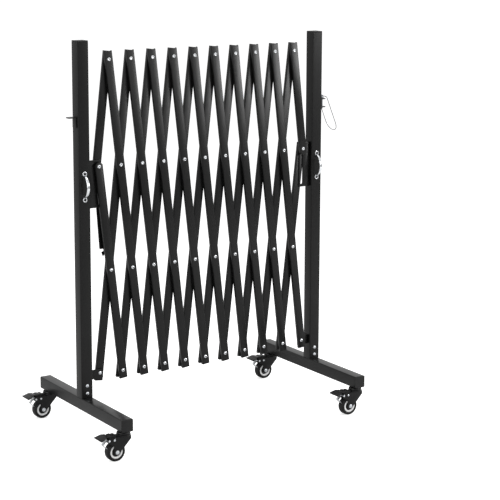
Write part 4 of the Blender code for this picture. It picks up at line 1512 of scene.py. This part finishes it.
@dataclass(frozen=True)
class Caster(SideAssembly):
    """A swivelling caster with its fork, wheel, tyre and foot brake, about its stem."""

    end: End
    trail: float = 0.029
    wheel_radius: float = 0.03
    tyre_inner: float = 0.021
    tyre_half: float = 0.013
    cheek: float = 0.0141
    sheet: float = 0.0024
    edge: float = 0.0007
    boss: float = 0.009
    stem_radius: float = 0.0047
    stem_length: float = 0.022
    collar_radius: float = 0.011
    kingpin_radius: float = 0.004
    flange_radius: float = 0.007
    washer_radius: float = 0.0062
    nut: Nut = Nut(0.0059, 0.0007, 0.003, (0.0032, 0.003), 0.0035)
    crown_base: float = 0.0739
    crown_radius: float = 0.022
    race_radius: float = 0.021
    web_reach: float = 0.0245
    pin_height: float = 0.068
    pin_backs: tuple[float, float] = (0.0375, 0.055)
    pedal_reach: float = 0.086
    pedal_neck: float = 0.0134
    pedal_half: float = 0.0232
    widening: tuple[float, float] = (0.058, 0.0755)
    pedal_corner: float = 0.003
    cuts: int = 13
    cut_pitch: float = 0.0021
    hub_radius: float = 0.006
    arm_top: float = 0.0795
    knee: tuple[float, float] = (-0.0715, 0.0542)
    shoe_half: float = 0.007
    shoe_sheet: float = 0.0018
    shoe_play: float = 0.0006
    contact_angle: float = math.radians(22)

    @property
    def place(self) -> Matrix:
        """Returns the stem's place under its end of the foot."""
        return super().place @ Matrix.Translation((0, self.end.value, 0))

    def head(self) -> BMesh:
        """Makes the stem, its collar, the ball race and the kingpin's flange.

        Returns:
            The fixed head about its stem.
        """
        top = self.datum.foot_base - self.datum.gap
        race, wide, base = top - 0.0035, self.race_radius, self.crown_base - self.datum.gap
        stem, collar = self.stem_radius, self.collar_radius
        kingpin, flange = self.kingpin_radius, self.flange_radius
        return turned(
            [
                Corner(0, top + self.stem_length), Corner(stem, top + self.stem_length, 0.0008),
                Corner(stem, top), Corner(collar, top, 0.0003), Corner(collar, race - 0.0018, 0.0006),
                Corner(wide - 0.0045, race - 0.0022, 0.0012), Corner(wide - 0.0032, race, 0.0006),
                Corner(wide - 0.0012, race - 0.0004, 0.0008), Corner(wide, race - 0.0036, 0.001),
                Corner(wide, race - 0.006, 0.0004), Corner(kingpin, race - 0.006), Corner(kingpin, base),
                Corner(flange, base, 0.0004), Corner(flange, base - 0.0025, 0.0008), Corner(0, base - 0.0025),
            ],
            steps=32,
        )

    def boss_corner(self, start: Corner, way: int) -> Corner:
        """Finds the corner that the boss rounds, where a cheek's edge meets the boss's foot.

        Args:
            start: The point from which the edge runs down to touch the boss.
            way: 1 for the boss's stem side and -1 for its far side.

        Returns:
            The corner, with the boss's radius.
        """
        edge = Vector((-self.trail - start.a, self.wheel_radius - start.b))
        edge.rotate(Matrix.Rotation(way * math.asin(self.boss / edge.length), 2))
        foot = self.wheel_radius - self.boss
        return Corner(start.a + edge.x * (foot - start.b) / edge.y, foot, self.boss)

    def fork(self) -> BMesh:
        """Makes the crown with its rolled rim, the web and both cheeks.

        Returns:
            The fork about the stem.
        """
        base, wide = self.crown_base, self.crown_radius
        crown = turned(
            [
                Corner(0.0043, base + 0.0034), Corner(0.0043, base + 0.006, 0.0003),
                Corner(wide - 0.0022, base + 0.006, 0.0006), Corner(wide, base + 0.0044, 0.0012),
                Corner(wide, base, 0.0006), Corner(wide - 0.0024, base, 0.0004),
                Corner(wide - 0.0026, base + 0.0034, 0.0006),
            ],
            steps=36,
        )
        outside, rear, back = self.cheek + self.sheet, -wide / 2, -self.web_reach
        corners = [
            Corner(rear, -outside), Corner(rear, outside), Corner(back, outside, 0.003),
            Corner(back, -outside, 0.003),
        ]
        web = plate(corners, Axis.Z, base, base + self.sheet)
        front, tail = Corner(0.0177, 0.0658, 0.004), Corner(-0.0398, 0.0505, 0.006)
        outline = [
            Corner(0.0177, base + self.sheet, 0.001), front, self.boss_corner(front, 1),
            self.boss_corner(tail, -1), tail, Corner(-0.057, 0.0597, 0.005),
            Corner(-0.0616, 0.0694, 0.005), Corner(-0.0574, base + self.sheet, 0.003),
        ]
        cheeks = [
            softened(plate(outline, Axis.Y, way * self.cheek, way * outside, segments=8), self.edge)
            for way in (-1, 1)
        ]
        return united([crown, softened(web, self.edge), *cheeks])

    def fasteners(self) -> BMesh:
        """Makes the axle bolt with its nuts and washers, and the cheeks' cross pins.

        Returns:
            The plated parts that the fork carries.
        """
        made = [self.rod(0.003, self.cheek, -self.trail, self.wheel_radius)]
        outside = self.cheek + self.sheet
        head = [
            Corner(0, 0), Corner(0.0033, 0), Corner(0.0033, 0.0005, 0.0003), Corner(0.002, 0.0011, 0.0006),
            Corner(0, 0.0012),
        ]
        for way in (-1, 1):
            axle_end = looking((0, way, 0), (-self.trail, way * outside, self.wheel_radius))
            disc = washer(self.washer_radius, self.nut.base)
            made += [moved(disc, axle_end), moved(self.nut.shape(), axle_end)]
            for back in self.pin_backs:
                pin_end = looking((0, way, 0), (-back, way * outside, self.pin_height))
                made.append(moved(turned(head), pin_end))
        made += [self.rod(0.0025, outside, -back, self.pin_height) for back in self.pin_backs]
        return united(made)

    @staticmethod
    def rod(radius: float, half: float, x: float, z: float) -> BMesh:
        """Returns a plain shank along Y, centred on a place."""
        profile = [Corner(0, -half), Corner(radius, -half), Corner(radius, half), Corner(0, half)]
        return turned(profile, Axis.Y, (x, 0, z))

    def about_axle(self, half: Sequence[Corner], steps: int = 48) -> BMesh:
        """Returns a part turned about the axle from the profile of its back half."""
        return turned(both_sides(half), Axis.Y, (-self.trail, 0, self.wheel_radius), steps)

    def rim(self) -> BMesh:
        """Makes the pale rim.

        Returns:
            The rim, with a shallow step on both sides.
        """
        outer, half = self.tyre_inner - self.datum.gap, self.tyre_half - 0.002
        return self.about_axle(
            [
                Corner(outer, half - 0.0004), Corner(outer - 0.0008, half, 0.0003),
                Corner(0.0186, half + 0.0007, 0.0005), Corner(0.0157, half + 0.0005, 0.0005),
                Corner(0.0148, half - 0.0008, 0.0004), Corner(0.0146, 0.0045),
            ]
        )

    def disc(self) -> BMesh:
        """Makes the dark middle of the wheel.

        Returns:
            The disc and the hub inside the rim.
        """
        return self.about_axle(
            [
                Corner(0.0147, 0.0072), Corner(0.009, 0.0076, 0.0006), Corner(0.008, 0.0134, 0.0004),
                Corner(0.0036, 0.0136, 0.0002), Corner(0.0033, 0.0134),
            ]
        )

    def tyre(self) -> BMesh:
        """Makes the tyre.

        Returns:
            The tyre, with round shoulders, a side step and its mould line.
        """
        inner, outer, half = self.tyre_inner, self.wheel_radius, self.tyre_half
        return self.about_axle(
            [
                Corner(inner, half - 0.0018), Corner(inner + 0.0004, half - 0.0006, 0.0004),
                Corner(inner + 0.0018, half, 0.0005), Corner(inner + 0.004, half, 0.0004),
                Corner(inner + 0.0044, half - 0.0006, 0.0003), Corner(outer - 0.0016, half - 0.0018, 0.0014),
                Corner(outer - 0.0004, 0.0085, 0.003), Corner(outer - 0.00015, 0.0004), Corner(outer, 0.0002),
            ],
            steps=64,
        )

    def pedal_width(self, out: float) -> float:
        """Returns half the pedal's width.

        Args:
            out: The distance behind the stem.

        Returns:
            The neck's half width, then a smooth flare, then the tip's rounded corners.
        """
        start, end = self.widening
        share = min(max((out - start) / (end - start), 0), 1)
        half = self.pedal_neck + (self.pedal_half - self.pedal_neck) * share**2 * (3 - 2 * share)
        past = min(max(out - self.pedal_reach + self.pedal_corner, 0), self.pedal_corner * 0.95)
        return half - self.pedal_corner + math.sqrt(self.pedal_corner**2 - past**2)

    def pedal(self) -> BMesh:
        """Makes the moulded pedal: a low heel, two lobes, a flared tip with a lip, arm and hub.

        Returns:
            The pedal about the stem.
        """
        neck, tip = self.pedal_neck, -self.pedal_reach
        side = [
            Corner(-0.0268, 0.0808, 0.0012), Corner(-0.0315, 0.0824, 0.003), Corner(-0.037, 0.081, 0.003),
            Corner(-0.0415, 0.0829, 0.003), Corner(-0.0485, 0.0829, 0.0025), Corner(-0.0525, 0.0806, 0.002),
            Corner(-0.0565, 0.0832, 0.003), Corner(-0.0655, 0.0832, 0.004), Corner(-0.0715, 0.0795, 0.004),
            Corner(-0.078, 0.077, 0.003), Corner(-0.0808, 0.0757, 0.0008), Corner(-0.0822, 0.0768, 0.0006),
            Corner(tip, 0.0764, 0.0012), Corner(tip, 0.0722, 0.0012), Corner(-0.0828, 0.0722, 0.001),
            Corner(-0.0805, 0.0732, 0.003), Corner(-0.066, 0.0785, 0.006), Corner(-0.031, 0.0785, 0.003),
            Corner(-0.0268, 0.0778, 0.001),
        ]
        tread = plate(side, Axis.Y, -1, 1, segments=4)
        for step in range(1, self.cuts + 1):
            bmesh.ops.bisect_plane(
                tread, geom=tread.verts[:] + tread.edges[:] + tread.faces[:], dist=MERGE,
                plane_co=(-self.widening[0] - step * self.cut_pitch, 0, 0), plane_no=(1, 0, 0),
            )
        for vert in tread.verts:
            vert.co.y *= self.pedal_width(-vert.co.x)
        softened(tread, 0.0009, 3, CREASE)
        back, low, high, radius = -self.pin_backs[0], self.pin_height, self.arm_top, self.hub_radius
        corners = [
            Corner(back - radius, low, 0.002), Corner(back + radius, low, 0.002), Corner(back + radius, high),
            Corner(back - 0.013, high),
        ]
        arm = softened(plate(corners, Axis.Y, -neck, neck), 0.0008)
        return united([tread, arm, softened(self.rod(radius, neck, back, low), 0.0005)])

    def shoe(self) -> BMesh:
        """Makes the bent strip that the pedal presses on the tyre.

        Returns:
            The strip, from under the tread, round its knee, to the tyre.
        """
        sine, cosine = math.sin(self.contact_angle), math.cos(self.contact_angle)
        reach, sheet = self.wheel_radius + self.shoe_play, self.shoe_sheet
        low_x, low_z = -self.trail - cosine * reach, self.wheel_radius + sine * reach
        knee_x, knee_z = self.knee
        corners = [
            Corner(-0.0592, 0.0792), Corner(-0.061, 0.0792), Corner(-0.061, 0.0665, 0.003),
            Corner(knee_x, knee_z, 0.0025), Corner(low_x, low_z),
            Corner(low_x + sine * sheet, low_z + cosine * sheet),
            Corner(knee_x + 0.0028, knee_z + 0.0003, 0.001), Corner(-0.0592, 0.0673, 0.0015),
        ]
        return softened(plate(corners, Axis.Y, -self.shoe_half, self.shoe_half), 0.0003)

    def build(self) -> None:
        """Makes the caster's pieces, each on its own body."""
        end = self.end.name.lower()
        fork, wheel, pedal = f"{end}_fork", f"{end}_wheel", f"{end}_brake_pedal"
        for word, shape, finish, body, nodes in (
            ("swivel_head", self.head(), BLACK_PAINT, "frame", [end + "_caster_head"]),
            ("fork_cheeks", self.fork(), BLACK_PAINT, fork, [fork]),
            ("fork_fasteners", self.fasteners(), BOLT_ZINC, fork, ()),
            ("wheel_rim", self.rim(), RIM_NYLON, wheel, [wheel]),
            ("wheel_core", self.disc(), CAP_PLASTIC, wheel, ()),
            ("wheel_tread", self.tyre(), TYRE_RUBBER, wheel, [end + "_tyre"]),
            ("pedal_tread", self.pedal(), PEDAL_PLASTIC, pedal, [pedal]),
            ("brake_strip", self.shoe(), STRIP_ZINC, pedal, ()),
        ):
            self.mount(f"{end}_{word}", shape, finish, *nodes, body=body)


@dataclass(frozen=True)
class Lamp:
    """An area lamp of the studio."""

    name: str
    place: tuple[float, float, float]
    size: tuple[float, float]
    power: float

    def build(self, target: Vector) -> None:
        """Makes the lamp and points it.

        Args:
            target: The point that it faces.
        """
        data = bpy.data.lights.new(self.name, "AREA")
        data.shape = "RECTANGLE"
        data.size, data.size_y = self.size
        data.energy = self.power
        lamp = bpy.data.objects.new(self.name, data)
        bpy.context.scene.collection.objects.link(lamp)
        lamp.location = self.place
        lamp.rotation_mode = "QUATERNION"
        lamp.rotation_quaternion = (Vector(self.place) - target).to_track_quat("Z", "Y")


@dataclass(frozen=True)
class Studio:
    """A plain white studio: floor, soft lamps, world and the camera."""

    azimuth: float = math.radians(-33.04)
    elevation: float = math.radians(9.47)
    roll: float = math.radians(0.22)
    lens: float = 114.5
    sensor: float = 36.0
    shift_y: float = -0.12
    distance: float = 5.111
    target: tuple[float, float, float] = (0.1695, -0.0175, 0.7245)
    world_level: float = 0.55
    clip_end: float = 200.0
    floor_half: float = 40.0
    floor_roughness: float = 0.9
    floor_glow: float = 0.6
    lamp_target: tuple[float, float, float] = (0.1, 0.0, 0.7)
    lamps: tuple[Lamp, ...] = (
        Lamp("left_softbox", (-3.2, -0.6, 1.6), (2.4, 2.6), 45),
        Lamp("top_softbox", (0.3, 0.4, 3.6), (3.0, 2.4), 45),
        Lamp("front_softbox", (2.1, -2.06, 1.65), (1.35, 0.8), 54),
        Lamp("front_fill", (0.6, -3.6, 2.4), (2.2, 1.6), 12),
    )

    def camera(self) -> None:
        """Makes the camera that stands where the photograph was taken."""
        data = bpy.data.cameras.new("camera")
        data.lens = self.lens
        data.sensor_width = self.sensor
        data.shift_y = self.shift_y
        data.clip_end = self.clip_end
        camera = bpy.data.objects.new("camera", data)
        bpy.context.scene.collection.objects.link(camera)
        level = math.cos(self.elevation)
        away = (math.sin(self.azimuth) * level, -math.cos(self.azimuth) * level, math.sin(self.elevation))
        back = Vector(away)
        right = Vector((0, 0, 1)).cross(back).normalized()
        turn = Matrix((right, back.cross(right), back)).transposed().to_4x4()
        place = Matrix.Translation(Vector(self.target) + back * self.distance)
        camera.matrix_world = place @ turn @ Matrix.Rotation(self.roll, 4, "Z")
        bpy.context.scene.camera = camera

    def world(self) -> None:
        """Lights all round evenly, and shows plain white to the camera and in reflections."""
        world = bpy.data.worlds.new("studio")
        bpy.context.scene.world = world
        world.use_nodes = True
        tree = world.node_tree
        tree.nodes.clear()
        rays = add_node(tree, "ShaderNodeLightPath").outputs
        seen = add_node(tree, "ShaderNodeMath", {"operation": "MAXIMUM"})
        tree.links.new(rays["Is Camera Ray"], seen.inputs[0])
        tree.links.new(rays["Is Glossy Ray"], seen.inputs[1])
        levels = {"To Min": self.world_level, "To Max": 1.0}
        level = add_node(tree, "ShaderNodeMapRange", levels, {"Value": seen.outputs["Value"]})
        white, strength = {"Color": linear("#FFFFFF")}, {"Strength": level.outputs["Result"]}
        light = add_node(tree, "ShaderNodeBackground", white, strength)
        add_node(tree, "ShaderNodeOutputWorld", links={"Surface": light.outputs["Background"]})

    def floor(self) -> None:
        """Lays the white floor, which keeps a soft shadow under the feet."""
        shape = bmesh.new()
        bmesh.ops.create_grid(shape, x_segments=1, y_segments=1, size=self.floor_half)
        mesh = bpy.data.meshes.new("floor")
        shape.to_mesh(mesh)
        shape.free()
        material = bpy.data.materials.new("white_studio_floor")
        material.use_nodes = True
        tree = material.node_tree
        shader = tree.nodes["Principled BSDF"]
        shader.inputs["Base Color"].default_value = linear("#F4F4F4")
        shader.inputs["Roughness"].default_value = self.floor_roughness
        shader.inputs["Specular IOR Level"].default_value = 0.0
        shader.inputs["Emission Color"].default_value = linear("#FFFFFF")
        rays = add_node(tree, "ShaderNodeLightPath").outputs
        glow = add_node(tree, "ShaderNodeMath", {"operation": "MULTIPLY"})
        glow.inputs[1].default_value = self.floor_glow
        tree.links.new(rays["Is Camera Ray"], glow.inputs[0])
        tree.links.new(glow.outputs["Value"], shader.inputs["Emission Strength"])
        mesh.materials.append(material)
        floor = bpy.data.objects.new("floor", mesh)
        bpy.context.scene.collection.objects.link(floor)

    def build(self) -> None:
        """Makes the camera, the lamps, the world and the floor."""
        bpy.context.scene.view_settings.view_transform = "Standard"
        self.camera()
        for lamp in self.lamps:
            lamp.build(Vector(self.lamp_target))
        self.world()
        self.floor()
        log.info("studio: %d lamps", len(self.lamps))


def main() -> None:
    """Builds the studio and every sub-assembly of the barrier."""
    logging.basicConfig(level=logging.INFO, format="%(name)s: %(message)s")
    Studio().build()
    datum = Datum.measured()
    lattice = Lattice(datum)
    lattice.build()
    for side in Side:
        Upright(datum, side).build()
        Foot(datum, side).build()
        for kind in Bracket:
            AngleBracket(datum, side, kind).build()
        PullHandle(datum, side).build()
        for end in End:
            Caster(datum, side, end).build()
    FoldHook(datum, lattice.row_height(2)).build()
    Coupling(datum).build()


if __name__ == "__main__":
    main()
